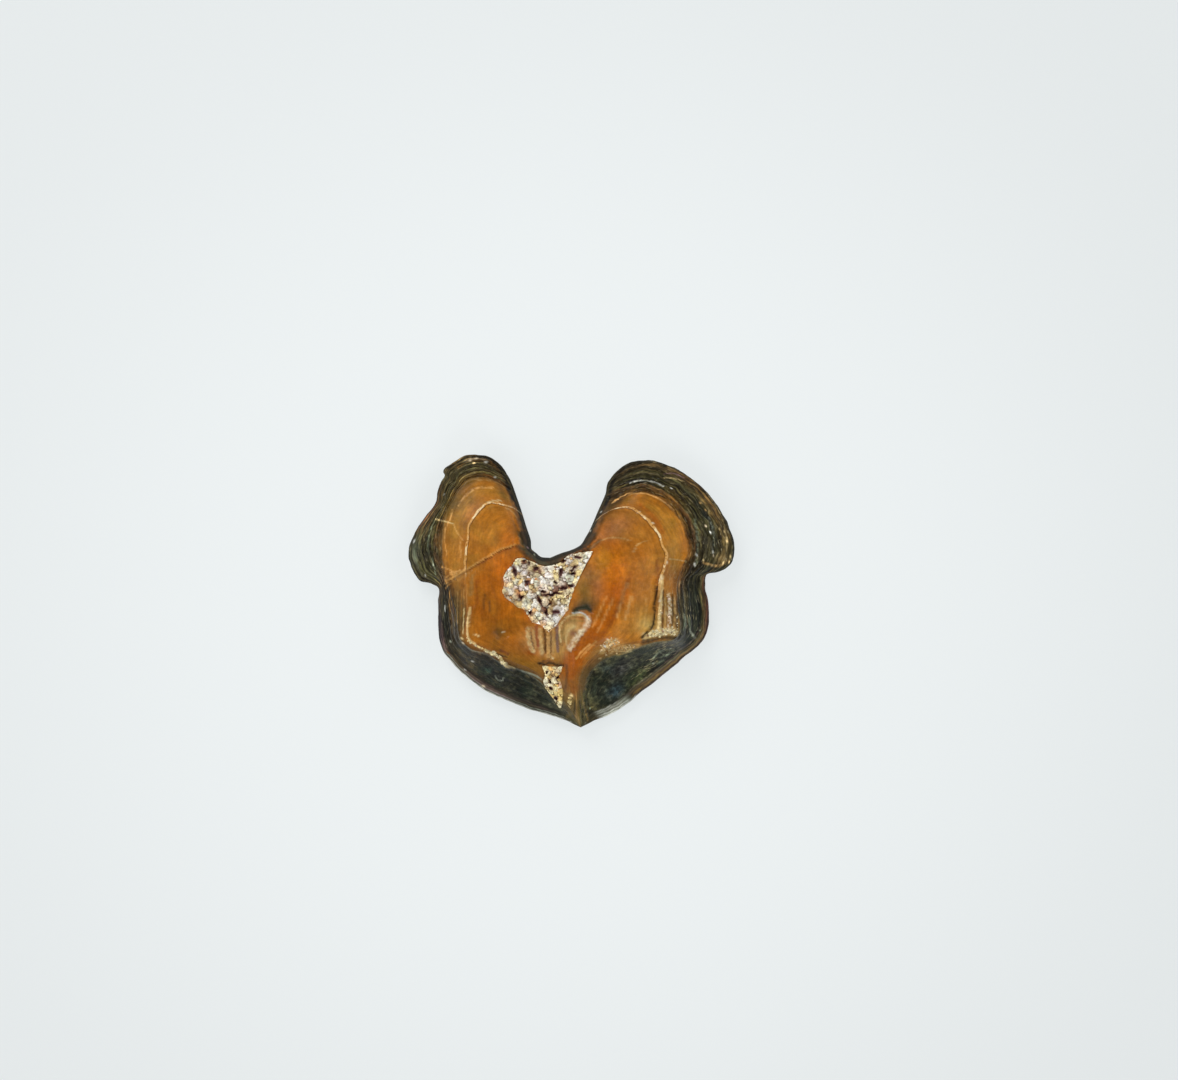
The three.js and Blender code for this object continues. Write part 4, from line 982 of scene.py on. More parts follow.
# %% Lines: left wing
LINES += [
    ([(-4.11, 0.11), (-4.05, -0.19), (-4, -0.68), (-3.97, -1.4)], 0.16, SOOT, 0.85, 0),
    ([(-3.8, -0.22), (-3.8, -0.75), (-3.77, -1.47)], 0.1, BARK, 0.85, 0.1),
    ([(-3.69, -0.35), (-3.69, -0.81), (-3.66, -1.34)], 0.05, PEAT, 0.7, 0.2),
    ([(-3.84, -0.39), (-3.85, -0.68), (-3.84, -0.94)], 0.016, MAUVE, 0.5, 0.3),
    ([(-4.16, -0.16), (-4.11, -0.68), (-4.08, -1.34)], 0.06, PINE, 0.7, 0.2),
    ([(-3.95, 4.01), (-3.79, 4.19), (-3.56, 4.3)], 0.03, TAN, 0.8, 0.3),
    ([(-3.33, 4.35), (-3.07, 4.38), (-2.77, 4.31)], 0.02, WHEAT, 0.7, 0.3),
    ([(-4.02, 0.34), (-3.85, 0.39), (-3.66, 0.47), (-3.39, 0.63)], 0.1, OCHRE, 0.7, 0.5),
    ([(-4.21, 0.8), (-4.02, 0.75), (-3.82, 0.66), (-3.59, 0.7)], 0.018, APRICOT, 0.75, 0.4),
    ([(-4.11, 0.25), (-3.95, 0.32), (-3.79, 0.42), (-3.62, 0.5)], 0.02, WHEAT, 0.5, 0.6),
    ([(-4.11, 0.47), (-3.89, 0.55), (-3.69, 0.6)], 0.02, APRICOT, 0.75, 0.4),
    ([(-4.11, 0.07), (-4.02, 0.19), (-3.89, 0.27)], 0.018, OCHRE, 0.5, 0.5),
    ([(-4.05, 0.63), (-3.92, 0.5), (-3.72, 0.37)], 0.02, RUSSET, 0.7, 0.3),
    ([(-2.64, -0.22), (-2.63, -0.42), (-2.64, -0.61)], 0.03, RUSSET, 0.7, 0),
    ([(-3.75, 0.04), (-3.77, -0.42), (-3.75, -0.94)], 0.02, HAZEL, 0.35, 0.4),
    ([(-3.54, 0.17), (-3.56, -0.29), (-3.56, -0.81)], 0.018, AMBER, 0.5, 0.4),
    ([(-3.36, 0.43), (-3.38, 0.04), (-3.39, -0.35)], 0.02, OCHRE, 0.5, 0.3),
    ([(-3.95, 0.04), (-3.97, -0.35), (-3.95, -0.88)], 0.022, OCHRE, 0.33, 0.4),
    ([(-3.82, 0.11), (-3.84, -0.29), (-3.82, -0.68)], 0.022, UMBER, 0.6, 0.2),
    ([(-3.69, -0.02), (-3.7, -0.48), (-3.69, -1.01)], 0.02, WHEAT, 0.36, 0.3),
    ([(-3.61, 0.04), (-3.62, -0.48), (-3.6, -1.01)], 0.02, RUSSET, 0.6, 0.2),
    ([(-3.47, 0.17), (-3.48, -0.22), (-3.46, -0.48)], 0.018, OCHRE, 0.5, 0.3),
    ([(-3.89, -0.29), (-3.92, -0.78), (-3.89, -1.34)], 0.02, CINNAMON, 0.6, 0.4),
    ([(-2.31, 2.82), (-2.61, 2.76), (-2.93, 2.6), (-3.2, 2.27), (-3.33, 1.91)], 0.016, OCHRE, 0.5, 0.4),
    ([(-3.69, 2.8), (-3.58, 2.97), (-3.39, 3.16), (-3.14, 3.36), (-2.86, 3.39), (-2.54, 3.39)],
        0.022, APRICOT, 0.85, 0.25),
    ([(-3.14, 3.63), (-2.87, 3.65), (-2.64, 3.63)], 0.018, WHEAT, 0.5, 0.4),
    ([(-2.76, 2.89), (-2.54, 2.95), (-2.29, 2.97)], 0.018, STRAW, 0.8, 0.2),
    ([(-4.42, 2.36), (-4.14, 2.29), (-3.83, 2.21)], 0.02, STRAW, 0.85, 0.2),
    ([(-3.87, 2.66), (-3.92, 2.43), (-4.05, 2.15), (-4.11, 1.97), (-4.1, 1.49), (-4.05, 1.16)],
        0.022, APRICOT, 0.75, 0.55),
    ([(-3.83, 2.19), (-3.67, 1.87), (-3.51, 1.66)], 0.02, APRICOT, 0.65, 0.3),
    ([(-3.61, 1.62), (-3.6, 1.42), (-3.58, 1.12)], 0.018, APRICOT, 0.55, 0.5),
    ([(-4.11, 1.02), (-4.08, 0.8), (-4.08, 0.53)], 0.03, OCHRE, 0.45, 0.4),
    ([(-2.13, 2.72), (-1.91, 2.59), (-1.76, 2.37), (-1.66, 2.12), (-1.7, 1.87), (-1.63, 1.56)],
        0.018, WHEAT, 0.6, 0.3),
    ([(-3.92, 0.61), (-3.69, 0.65), (-3.45, 0.71)], 0.035, APRICOT, 0.65, 0.5),
    # painted glints along the left lobe's top rim
    ([(-3.46, 4.24), (-3.3, 4.3), (-3.1, 4.34), (-2.9, 4.32), (-2.75, 4.24)], 0.034, CREAM, 0.95, 0.35),
    ([(-3.69, 4.04), (-3.52, 4.19), (-3.33, 4.29), (-3.07, 4.36), (-2.74, 4.27), (-2.48, 4.11)],
        0.05, OCHRE, 0.5, 0.5),
    ([(-4.59, 2.11), (-4.66, 1.81), (-4.7, 1.45)], 0.02, LICHEN, 0.7, 0.8),
    ([(-4.54, 1.09), (-4.48, 0.83), (-4.44, 0.57)], 0.02, LICHEN, 0.7, 0.8),
    # a painted glint on the left flank
    ([(-4.12, -0.47), (-4.13, -0.55), (-4.13, -0.63)], 0.02, CHALK, 0.8, 0),
    ([(-3.46, -0.52), (-3.49, -0.94), (-3.5, -1.34)], 0.02, STRAW, 0.75, 0.3),
    ([(-3.26, -0.5), (-3.31, -0.71), (-3.35, -1.07), (-3.35, -1.42), (-3.29, -1.57), (-3.16, -1.66),
        (-3.03, -1.76), (-2.87, -1.83)], 0.032, BUTTER, 1, 0.2),
    ([(-2.78, -1.89), (-2.61, -1.96), (-2.44, -2.04), (-2.31, -2.12), (-2.25, -2.24), (-2.17, -2.36),
        (-2.05, -2.43), (-1.88, -2.48)], 0.05, STRAW, 0.9, 0.5),
    ([(-1.64, -2.57), (-1.35, -2.65), (-1.16, -2.73), (-1, -2.83)], 0.03, MIST, 0.75, 0.4),
    ([(-2.29, -1.89), (-2.18, -1.94), (-2.05, -2.01)], 0.045, OXBLOOD, 0.65, 0.2),
    ([(-2.41, -2), (-2.25, -2.06), (-2.08, -2.12)], 0.03, PEAT, 0.75, 0.1),
    ([(-2.49, -2.77), (-2.41, -2.88), (-2.28, -2.9), (-2.2, -2.83)], 0.022, MIST, 0.65, 0.3),
]

# %% Lines: middle
LINES += [
    ([(-0.34, -1.63), (-0.39, -1.37), (-0.36, -1.14), (-0.25, -0.93), (-0.08, -0.8), (0.08, -0.75),
        (0.34, -0.76), (0.54, -0.86)], 0.032, STRAW, 0.7, 0.5),
    ([(0.54, -0.86), (0.54, -1.01), (0.41, -1.2), (0.21, -1.45), (-0.05, -1.83)], 0.09, CREAM, 0.8, 0.55),
    ([(0.05, -0.69), (0.28, -0.67), (0.48, -0.77), (0.56, -0.88)], 0.026, LIME_GREY, 0.95, 0),
    ([(0.1, -0.61), (0.31, -0.54), (0.51, -0.52), (0.61, -0.6)], 0.07, MOSS, 0.95, 0),
    ([(-1.38, -1.2), (-1.38, -1.47), (-1.33, -1.71), (-1.23, -1.93)], 0.075, STRAW, 0.7, 0.6),
    ([(-1.25, -1.24), (-1.2, -1.5), (-1.13, -1.8)], 0.03, WHEAT, 0.7, 0.3),
    ([(-1.01, -1.27), (-0.99, -1.6), (-0.95, -1.96)], 0.075, STRAW, 0.7, 0.6),
    ([(-0.76, -1.24), (-0.74, -1.6), (-0.74, -2.09)], 0.08, WHEAT, 0.75, 0.6),
    ([(-0.59, -1.24), (-0.59, -1.6), (-0.6, -1.99)], 0.04, WHEAT, 0.7, 0.4),
    ([(-1.13, -1.11), (-1.12, -1.4), (-1.07, -1.76)], 0.05, BRICK, 0.85, 0),
    ([(-1.31, -1.27), (-1.29, -1.53), (-1.21, -1.83)], 0.02, CINNAMON, 0.8, 0),
    ([(-0.88, -1.19), (-0.85, -1.53), (-0.83, -1.99)], 0.03, RUSSET, 0.9, 0),
    ([(-0.66, -1.2), (-0.66, -1.6), (-0.66, -1.99)], 0.02, CINNAMON, 0.8, 0),
    ([(-0.46, -0.94), (-0.46, -1.4), (-0.44, -1.93)], 0.045, MAUVE, 0.85, 0.1),
    ([(-0.21, -1.6), (-0.28, -1.34), (-0.23, -1.14), (-0.08, -0.98), (0.15, -0.93), (0.38, -0.96)],
        0.03, HAZEL, 0.7, 0.3),
    ([(-0.15, -1.73), (-0.16, -1.47), (-0.08, -1.24), (0.11, -1.12)], 0.03, STRAW, 0.6, 0.5),
    ([(-1.49, -2.09), (-1.23, -2.16), (-0.87, -2.22), (-0.51, -2.25)], 0.09, AMBER, 0.7, 0.4),
    ([(-1.07, -2.3), (-0.87, -2.35), (-0.64, -2.32), (-0.48, -2.38), (-0.25, -2.4)], 0.04, BARK, 0.9, 0.3),
    ([(-0.93, -2.25), (-0.74, -2.24), (-0.57, -2.29)], 0.03, RUSSET, 0.7, 0.4),
    ([(0.6, -1.71), (0.34, -1.93), (0.16, -2.16)], 0.035, APRICOT, 0.75, 0.2),
    ([(0.8, -1.6), (0.54, -1.86), (0.31, -2.12)], 0.035, APRICOT, 0.5, 0.3),
    ([(0.18, -3.57), (0.21, -3.96), (0.25, -4.29)], 0.022, HAZEL, 0.65, 0.2),
    ([(0.34, -3.5), (0.44, -3.89), (0.54, -4.22)], 0.022, HAZEL, 0.65, 0.2),
    ([(0.02, -3.7), (-0.05, -3.96), (-0.15, -4.16)], 0.022, HAZEL, 0.6, 0.3),
    ([(0.26, -3.57), (0.33, -3.96), (0.38, -4.29)], 0.018, SOOT, 0.7, 0),
    ([(-0.11, -3.57), (-0.18, -3.93), (-0.31, -4.22)], 0.015, SOOT, 0.7, 0.1),
    ([(0.48, -3.43), (0.61, -3.83), (0.84, -4.19)], 0.016, BARK, 0.7, 0.1),
    ([(0.15, -3.24), (0.16, -3.7), (0.15, -4.09)], 0.014, OCHRE, 0.6, 0.3),
    ([(0.3, -3.17), (0.41, -3.66), (0.54, -4.02)], 0.014, HAZEL, 0.6, 0.3),
    ([(-0.05, -3.11), (-0.1, -3.5), (-0.2, -3.86)], 0.014, HAZEL, 0.55, 0.3),
    ([(0.11, -3.57), (0.1, -3.96), (0.05, -4.25)], 0.018, SOOT, 0.7, 0),
]

# %% Lines: the notch, darkened as painted shade on its steep wall
LINES += [
    ([(-1.59, 1.88), (-1.51, 1.65), (-1.34, 1.39), (-1.1, 1.17)], 0.14, INK, 0.97, 0),
    ([(-1.16, 1.09), (-0.93, 0.96), (-0.7, 0.88)], 0.1, SOOT, 0.9, 0.2),
    ([(-0.67, 0.86), (-0.34, 0.91), (0.02, 1.04), (0.28, 1.2), (0.51, 1.35)], 0.1, SOOT, 0.92, 0.2),
    ([(0.51, 1.39), (0.7, 1.48), (0.9, 1.65)], 0.06, UMBER, 0.6, 0.2),
]

# %% Painted glints, with a few coloured specks: place, radius in mm, colour
GLINTS_AND_SPECKS = [
    ((4.21, 2.89), 0.035, WHEAT), ((4.38, 2.66), 0.035, WHEAT), ((2.18, 2.58), 0.035, CREAM),
    ((2.38, 2.45), 0.035, CREAM), ((2.64, 2.23), 0.045, CREAM), ((3.1, 0.96), 0.045, CREAM),
    ((2.93, 0.43), 0.045, CREAM), ((2.87, -0.29), 0.05, CREAM), ((2.9, -0.68), 0.045, CREAM),
    ((4.38, 2.14), 0.04, CREAM), ((4.54, 1.93), 0.042, CHALK), ((4.62, 1.29), 0.042, CHALK),
    ((4.64, 1.17), 0.035, CREAM), ((4.08, 1.2), 0.042, CHALK), ((4.02, 0.88), 0.05, CHALK),
    ((4.31, 1.02), 0.03, STRAW), ((4.97, 0.93), 0.05, BUTTER), ((5.16, 0.96), 0.045, BUTTER),
    ((5.2, 1.14), 0.04, STRAW), ((5.08, 1.65), 0.045, BUTTER), ((4.84, 2.04), 0.04, STRAW),
    ((5, 1.96), 0.04, STRAW), ((3.26, 3.37), 0.035, LIME_GREY), ((3.72, 0.98), 0.035, STRAW),
    ((-3.31, 4.29), 0.055, CREAM), ((-2.78, 4.23), 0.05, CHALK), ((-3.1, 4.34), 0.045, CREAM),
    ((-3.18, 4.19), 0.035, BUTTER), ((-2.49, 3.73), 0.035, LIME_GREY), ((-5.15, 1.65), 0.055, CHALK),
    ((-4.15, 3.17), 0.03, LIME_GREY), ((-4.78, 0.52), 0.035, LIME_GREY), ((-4.51, 0.86), 0.03, MIST),
    ((-3.11, -1.38), 0.04, BUTTER), ((-3, -1.42), 0.045, BUTTER), ((-2.2, -1.3), 0.035, CREAM),
    ((-3.54, -1.51), 0.05, BUTTER), ((-3.51, -1.66), 0.04, CREAM), ((-3.95, -1.63), 0.04, MIST),
    ((-3.22, -2.27), 0.045, LIME_GREY), ((-3.49, -2.57), 0.035, LIME_GREY), ((-2.89, -3.11), 0.05, CREAM),
    ((-4.04, -2.01), 0.06, RUSSET), ((-0.61, -2.16), 0.06, APRICOT), ((-0.67, -2.09), 0.04, WHEAT),
    ((0, -3.37), 0.065, BUTTER), ((-0.05, -3.58), 0.065, STRAW), ((-0.08, -3.76), 0.03, STRAW),
    ((1.1, -1.76), 0.06, CHALK), ((1.2, -1.55), 0.05, CREAM), ((0.93, -2.16), 0.035, STRAW),
    ((0.97, 2.6), 0.03, LIME_GREY), ((0.62, 1.98), 0.03, LIME_GREY), ((-1.21, 1.2), 0.03, MIST),
    ((-1.43, 1.43), 0.03, ROSE), ((0.21, -4.02), 0.025, STRAW), ((-0.02, -4.29), 0.025, LIME_GREY),
    ((0.61, -3.83), 0.025, LICHEN), ((0.18, -4.32), 0.02, LIME_GREY), ((0.44, -4.32), 0.02, LIME_GREY),
    ((2.69, -2.35), 0.035, MIST), ((3.23, -1.86), 0.03, MIST), ((4.21, -1.27), 0.03, LICHEN),
]

# %% Bands beside the outline: side, first and last ray, from and to mm from the edge, colour, strength
EDGE_BANDS = [
    (1, 0.63, 0.86, 0.08, 0.15, HAZEL, 0.8), (1, 0.63, 0.86, 0.02, 0.06, BARK, 0.85),
    (1, 0.63, 0.86, 0.155, 0.175, DRAB, 0.8), (1, 0.63, 0.86, 0.19, 0.22, HAZEL, 0.6),
    (1, 0.63, 0.86, 0.235, 0.26, MOSS, 0.8), (1, 0.63, 0.86, 0.275, 0.3, MAUVE, 0.6),
    (1, 0.64, 0.87, 0.32, 0.37, INK, 0.85), (1, 0.872, 0.95, -0.05, 0.25, MIST, 0.85),
    (1, 0.858, 0.95, -0.05, 0.045, CHALK, 0.9), (1, 0.87, 0.945, 0.052, 0.068, SAGE, 0.85),
    (1, 0.88, 0.95, 0.085, 0.12, CHALK, 0.85), (1, 0.86, 0.96, 0.132, 0.15, FERN, 0.85),
    (1, 0.89, 0.95, 0.168, 0.2, LIME_GREY, 0.8), (1, 0.87, 0.945, 0.215, 0.23, DRAB, 0.8),
    (1, 0.9, 0.95, 0.245, 0.265, CHALK, 0.75), (1, 0.55, 0.64, -0.05, 0.07, OXBLOOD, 0.7),
    (1, 0.55, 0.64, 0.12, 0.22, CINNAMON, 0.6), (-1, 0.64, 0.97, -0.05, 0.035, LIME_GREY, 0.9),
    (-1, 0.64, 0.97, 0.045, 0.06, SOOT, 0.9), (-1, 0.64, 0.97, 0.075, 0.1, MIST, 0.8),
    (-1, 0.64, 0.97, 0.115, 0.13, SOOT, 0.85), (-1, 0.72, 0.84, 0.08, 0.12, ROSE, 0.45),
    (-1, 0.64, 0.9, 0.15, 0.17, FERN, 0.6), (-1, 0.64, 0.97, 0.185, 0.23, INK, 0.75),
    # From here on, the INK and SOOT bands that start at ray 0 or below are painted shade, on the steep wall
    # of the notch and along the rounded-over outline of the lobes
    (-1, 0.5, 0.62, -0.05, 0.1, PLUM, 0.7), (-1, 0, 0.5, -0.05, 0.035, INK, 0.85),
    (1, 0, 0.5, -0.05, 0.035, INK, 0.85), (-1, 0.1, 0.2, 0, 0.36, DRAB, 0.75),
    (-1, 0.02, 0.1, 0, 0.22, UMBER, 0.8), (-1, 0, 0.16, -0.05, 0.12, SOOT, 1.3),
    (-1, -0.05, 0.035, -0.05, 0.3, INK, 1.3), (1, -0.05, 0.035, -0.05, 0.2, INK, 1.3),
    (1, 0.03, 0.16, 0, 0.3, PEAT, 0.75), (1, 0, 0.16, -0.05, 0.1, SOOT, 1.3),
    (-1, -0.05, 0.03, 0.04, 0.09, DRAB, 0.6), (1, -0.05, 0.03, 0.03, 0.08, DRAB, 0.6),
    (-1, 0.08, 0.15, -0.05, 0.03, TAN, 0.6),
]


# %% Where fine glints gather: centre, radii in mm, turn, strength
GLINTS = [
    ((2.97, -2.02), (0.42, 0.3), 25, 0.9), ((3.89, -1.01), (0.2, 0.5), 0, 0.7),
    ((2.41, -2.58), (0.5, 0.2), 35, 0.5), ((3.16, -0.55), (0.25, 0.6), 0, 0.6),
    ((3.36, 0.43), (0.25, 0.6), 0, 0.35), ((5, 1.35), (0.2, 0.6), 0, 0.6),
    ((-3.82, -1.01), (0.14, 0.5), 0, 0.15), ((-3.59, 0.53), (0.4, 0.14), 20, 0.5),
    ((-3.33, 4.24), (0.5, 0.15), 10, 0.4), ((0.28, -4.09), (0.3, 0.3), 0, 0.4),
    ((1.07, -1.93), (0.4, 0.2), 0, 0.4),
]


# %% Paint a wing
CENTRE_X, CENTRE_Y = 2.2, 0.9  # mm, the middle of each lobe, which its growth lines go round
# screen colours of the crack's painted highlight and painted shadow
CRACK_HIGHLIGHT, CRACK_SHADOW = (216, 162, 88), (122, 64, 16)
RAY_SOFT, BAND_SOFT = 0.012, 0.012  # how softly an edge band ends along the rays, and across in mm


def edge_band(w, first, last, near, far):
    """1 between two rays and between two distances from the edge, falling softly to 0 outside them."""
    x, y = w["top"][..., 0], w["top"][..., 1]
    along_edge = smooth(first - RAY_SOFT, first + RAY_SOFT, w["ray"])
    along_edge = along_edge * smooth(last + RAY_SOFT, last - RAY_SOFT, w["ray"])
    edge = w["to_edge"] + 0.02 * drift(x, y, 0.2, 24)
    soft = BAND_SOFT + 0.2 * (far - max(near, 0))
    return along_edge * smooth(near - soft, near + soft, edge) * smooth(far + soft, far - soft, edge)


def tint_wing(w):
    """Ground, stains, the crack's painted light and shade, lines, edge bands, painted glints and specks, in
    order.
    """
    x, y, side = w["top"][..., 0], w["top"][..., 1], w["wing"]["side"]
    colour = ground(w)
    for at, radii, turn, shade, strength in STAINS:
        colour = paint(colour, shade, strength * spot(x, y, at, radii, turn))
    far, within, above = crack_sides(x, y)
    # Painted highlight along the lit edge of the crack's raised side, and a painted shadow along its lower
    # side
    lit = within * smooth(0.085, 0.03, far) * (0.75 + 0.6 * drift(x, y, 0.12, 23, 1))
    colour = paint(colour, CRACK_HIGHLIGHT, np.where(above, lit, 0))
    colour = paint(colour, CRACK_SHADOW, np.where(above, 0, 0.6 * within * smooth(0.05, 0.015, far)))
    for path, width, shade, strength, beads in LINES:
        colour = paint(colour, shade, strength * stroke(x, y, path, width, beads))
    patchy = 0.8 + 0.4 * drift(x, y, 0.15, 25, 2)
    for band_side, first, last, near, far, shade, strength in EDGE_BANDS:
        if band_side == side:
            colour = paint(colour, shade, strength * edge_band(w, first, last, near, far) * patchy)
    # Painted glints: bright spots, stretched outwards from the lobe's middle, that stand in for light caught
    # on the enamel; a few rows are coloured specks
    for at, radius, shade in GLINTS_AND_SPECKS:
        outward = np.degrees(np.arctan2(at[1] - CENTRE_Y, at[0] - side * CENTRE_X))
        colour = paint(colour, shade, 1.5 * spot(x, y, at, (0.5 * radius, 0.95 * radius), outward))
    return colour


print("stains:", len(STAINS), "lines:", len(LINES), "glints_and_specks:", len(GLINTS_AND_SPECKS), "edge bands:", len(EDGE_BANDS))

# %% [markdown]
# ## Guides for the material
# Stripes, clouds and glints finer than the mesh come from the material. It has to know where it is on
# the plate, so each point also carries its growth, its ray, how striped, mottled or worn the enamel
# is there, and how far it is from the pale line. They are attributes, as the tint is.

# %% Guides of a wing
UNDERSIDE = [
    (0, (122, 82, 38)), (0.4, (104, 72, 36)), (0.7, (74, 56, 32)), (0.85, (52, 44, 30)), (1, (36, 30, 24)),
]
LINE_STRENGTH = {  # rays, and the pale line's strength at each, on the right and on the left
    1: ([0.01, 0.03, 0.1, 0.3, 0.45, 0.53, 0.57], [0, 0.5, 0.8, 1, 0.9, 0.8, 0]),
    -1: ([0.02, 0.05, 0.09, 0.13, 0.4, 0.47, 0.5], [0.2, 0.3, 0.6, 1, 0.8, 0.6, 0]),
}
FAR = 9  # mm, past every line


def guide_values(w):
    """For each attribute its values on the top and on the plain underside of a wing."""
    x, y, grown, across = w["top"][..., 0], w["top"][..., 1], w["growth"], w["ray"]
    dark = smooth(0.68, 0.72, grown) * smooth(0, 0.02, across)
    facet = dark * smooth(0.63, 0.68, across)
    mottled = 0.3 + 0.05 * dark + 0.7 * facet
    mottled = mottled * (1 - 0.85 * facet * smooth(0.32, 0.24, w["to_edge"]))
    flank = smooth(0.46, 0.52, across) * smooth(0.72, 0.66, across)
    glint = 0.22 * (dark - facet) + 0.08 * facet
    for at, radii, turn, strength in GLINTS:
        glint = glint + strength * spot(x, y, at, radii, turn)
    even = np.ones(x.shape)
    return {
        "tint": (tint_wing(w), ramp(UNDERSIDE, grown + 0.01 * drift(x, y, 0.5, 26))),
        "growth": (grown, grown), "ray": (across, across),
        "striped": (0.15 + dark - 0.9 * facet, 0.8 * even), "mottled": (mottled, 0.5 * even),
        "glint": (np.clip(glint, 0, 1), 0.1 * even),
        "line": (np.interp(across, *LINE_STRENGTH[w["wing"]["side"]]), 0 * even),
        "off_line": (w["off_line"], FAR * even),
        "edge": (smooth(0.3, 0.05, w["to_edge"] * (1 - 0.6 * flank)), even),
    }


# %% The tooth's piece
attributes = {}
for w in shaped:
    for key, sides in guide_values(w).items():
        attributes.setdefault(key, []).extend(layer.reshape(-1, *layer.shape[2:]) for layer in sides)
attributes = {key: np.concatenate(parts)[keep] for key, parts in attributes.items()}
tooth = make_piece("enamel_tooth", points[keep], triangles, attributes)
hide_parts("tooth")
print("attributes of the tooth:", ", ".join(attributes))

# %% [markdown]
# ## Enamel
# Polished enamel is smooth but not flat. Under its gloss it has hair-fine stripes along the growth
# lines, cloudy stain, and dust-sized pits. All of this is finer than the mesh, so the material makes
# it: noise stretched along the growth lines for the stripes, and plain noise for clouds and specks.

# %% Node helpers
class Net:
    """Short names for the nodes of one tree; numbers and colours go on sockets, sockets are linked."""

    def __init__(self, tree):
        self.nodes, self.links = tree.nodes, tree.links

    def node(self, kind, inputs=None, **settings):
        """A new node with its inputs and settings."""
        made = self.nodes.new(kind)
        for key, value in settings.items():
            setattr(made, key, value)
        for key, value in (inputs or {}).items():
            if isinstance(value, bpy.types.NodeSocket):
                self.links.new(value, made.inputs[key])
            else:
                made.inputs[key].default_value = value
        return made

    def place(self, output="Object"):
        """Where a point is: in metres on an object, or with "Generated" its direction in the sky."""
        return self.node("ShaderNodeTexCoord").outputs[output]

    def attribute(self, name, output="Fac"):
        """A value, or with output="Color" a colour, that the mesh carries."""
        return self.node("ShaderNodeAttribute", attribute_name=name).outputs[output]

    def math(self, operation, *values):
        """One of Blender's sums on single values."""
        return self.node("ShaderNodeMath", dict(enumerate(values)), operation=operation).outputs[0]

    def times(self, a, b):
        """a x b."""
        return self.math("MULTIPLY", a, b)

    def swing(self, pattern, amount):
        """(pattern - 0.5) x amount, so that a pattern of 0 to 1 darkens as much as it brightens."""
        return self.times(self.math("SUBTRACT", pattern, 0.5), amount)

    def step(self, value, low, high):
        """0 below low, 1 above high; falls instead where high is below low."""
        ends = (low, high, 0.0, 1.0) if low < high else (high, low, 1.0, 0.0)
        inputs = {0: value, 1: ends[0], 2: ends[1], 3: ends[2], 4: ends[3]}
        return self.node("ShaderNodeMapRange", inputs, interpolation_type="SMOOTHSTEP").outputs[0]

    def mix(self, factor, a, b):
        """Colour a where factor is 0 and b where it is 1; a tuple is a screen colour."""
        a, b = ((*srgb(*c), 1) if isinstance(c, tuple) else c for c in (a, b))
        return self.node("ShaderNodeMix", {0: factor, 6: a, 7: b}, data_type="RGBA").outputs[2]

    def noise(self, vector, scale, detail=3.0, roughness=0.6):
        """Cloudy noise of 0 to 1 with so many clouds a metre."""
        inputs = {"Vector": vector, "Scale": scale, "Detail": detail, "Roughness": roughness}
        return self.node("ShaderNodeTexNoise", inputs).outputs["Fac"]

    def scaled(self, colour, factor):
        """A colour times a value."""
        return self.node("ShaderNodeVectorMath", {0: colour, "Scale": factor}, operation="SCALE").outputs[0]

    def finish(self, shader, colour, roughness, heights, depth):
        """Links a finish to its shader; heights of 1 stand depth metres proud, at half strength."""
        bump = self.node("ShaderNodeBump", {"Strength": 0.5, "Distance": depth, "Height": heights})
        self.links.new(colour, shader.inputs["Base Color"])
        self.links.new(roughness, shader.inputs["Roughness"])
        self.links.new(bump.outputs[0], shader.inputs["Normal"])


def new_material(name):
    """A material, the net of its nodes, and its shader."""
    material = bpy.data.materials.new(name)
    material.use_nodes = True
    return material, Net(material.node_tree), material.node_tree.nodes["Principled BSDF"]


# %% Enamel: its patterns
enamel, net, shader = new_material("polished_enamel")
place, grown, along_ray = net.place(), net.attribute("growth"), net.attribute("ray")
striped, mottled = net.attribute("striped"), net.attribute("mottled")


def drawn_out(across, along_line):
    """Noise stretched along the growth lines: so many clouds across the growth and along the rays."""
    inputs = {0: net.times(grown, across), 1: net.times(along_ray, along_line)}
    return net.noise(net.node("ShaderNodeCombineXYZ", inputs).outputs[0], 1.0, 1.0, 0.5)


stripes, hairs, dashed = drawn_out(46.0, 11.0), drawn_out(130.0, 30.0), drawn_out(120.0, 45.0)
clouds = net.noise(place, 2200.0, 4.0, 0.62)
hues = net.noise(place, 1500.0)
flecks = net.noise(place, 7500.0, 2.0, 0.5)
specks = net.noise(place, 14000.0, 2.0, 0.5)

# %% Enamel: the stained ground
COOL_STAIN, GLINT_COLOUR = (28, 46, 33), (196, 182, 138)
HEART_FILTERS = (  # noise at which it starts and is full, and the share of red, green and blue it lets by
    (0.5, 0.66, (1.05, 0.93, 0.6)), (0.5, 0.36, (0.9, 1.04, 1.05)),
)
wide = net.swing(stripes, net.times(striped, 4.4))
narrow = net.swing(hairs, net.times(striped, 2.2))
cloudy = net.swing(clouds, net.math("MULTIPLY_ADD", mottled, 7.0, -0.9))
flecked = net.swing(flecks, net.math("MULTIPLY_ADD", mottled, 5.0, -0.9))
level = net.math("EXPONENT", net.math("ADD", net.math("ADD", wide, narrow), net.math("ADD", cloudy, flecked)))
stained = net.scaled(net.attribute("tint", "Color"), level)
cool = net.times(net.step(hues, 0.46, 0.62), net.times(net.step(mottled, 0.5, 1.0), 0.35))
stained = net.mix(cool, stained, COOL_STAIN)
in_heart = net.times(net.step(grown, HEART_LIMIT, 0.66), 0.6)
for low, high, passes in HEART_FILTERS:
    filtered = net.node("ShaderNodeVectorMath", {0: stained, 1: passes}, operation="MULTIPLY").outputs[0]
    stained = net.mix(net.times(net.step(hues, low, high), in_heart), stained, filtered)
dashes = net.times(net.step(dashed, 0.6, 0.7), net.attribute("glint"))
stained = net.mix(dashes, stained, GLINT_COLOUR)
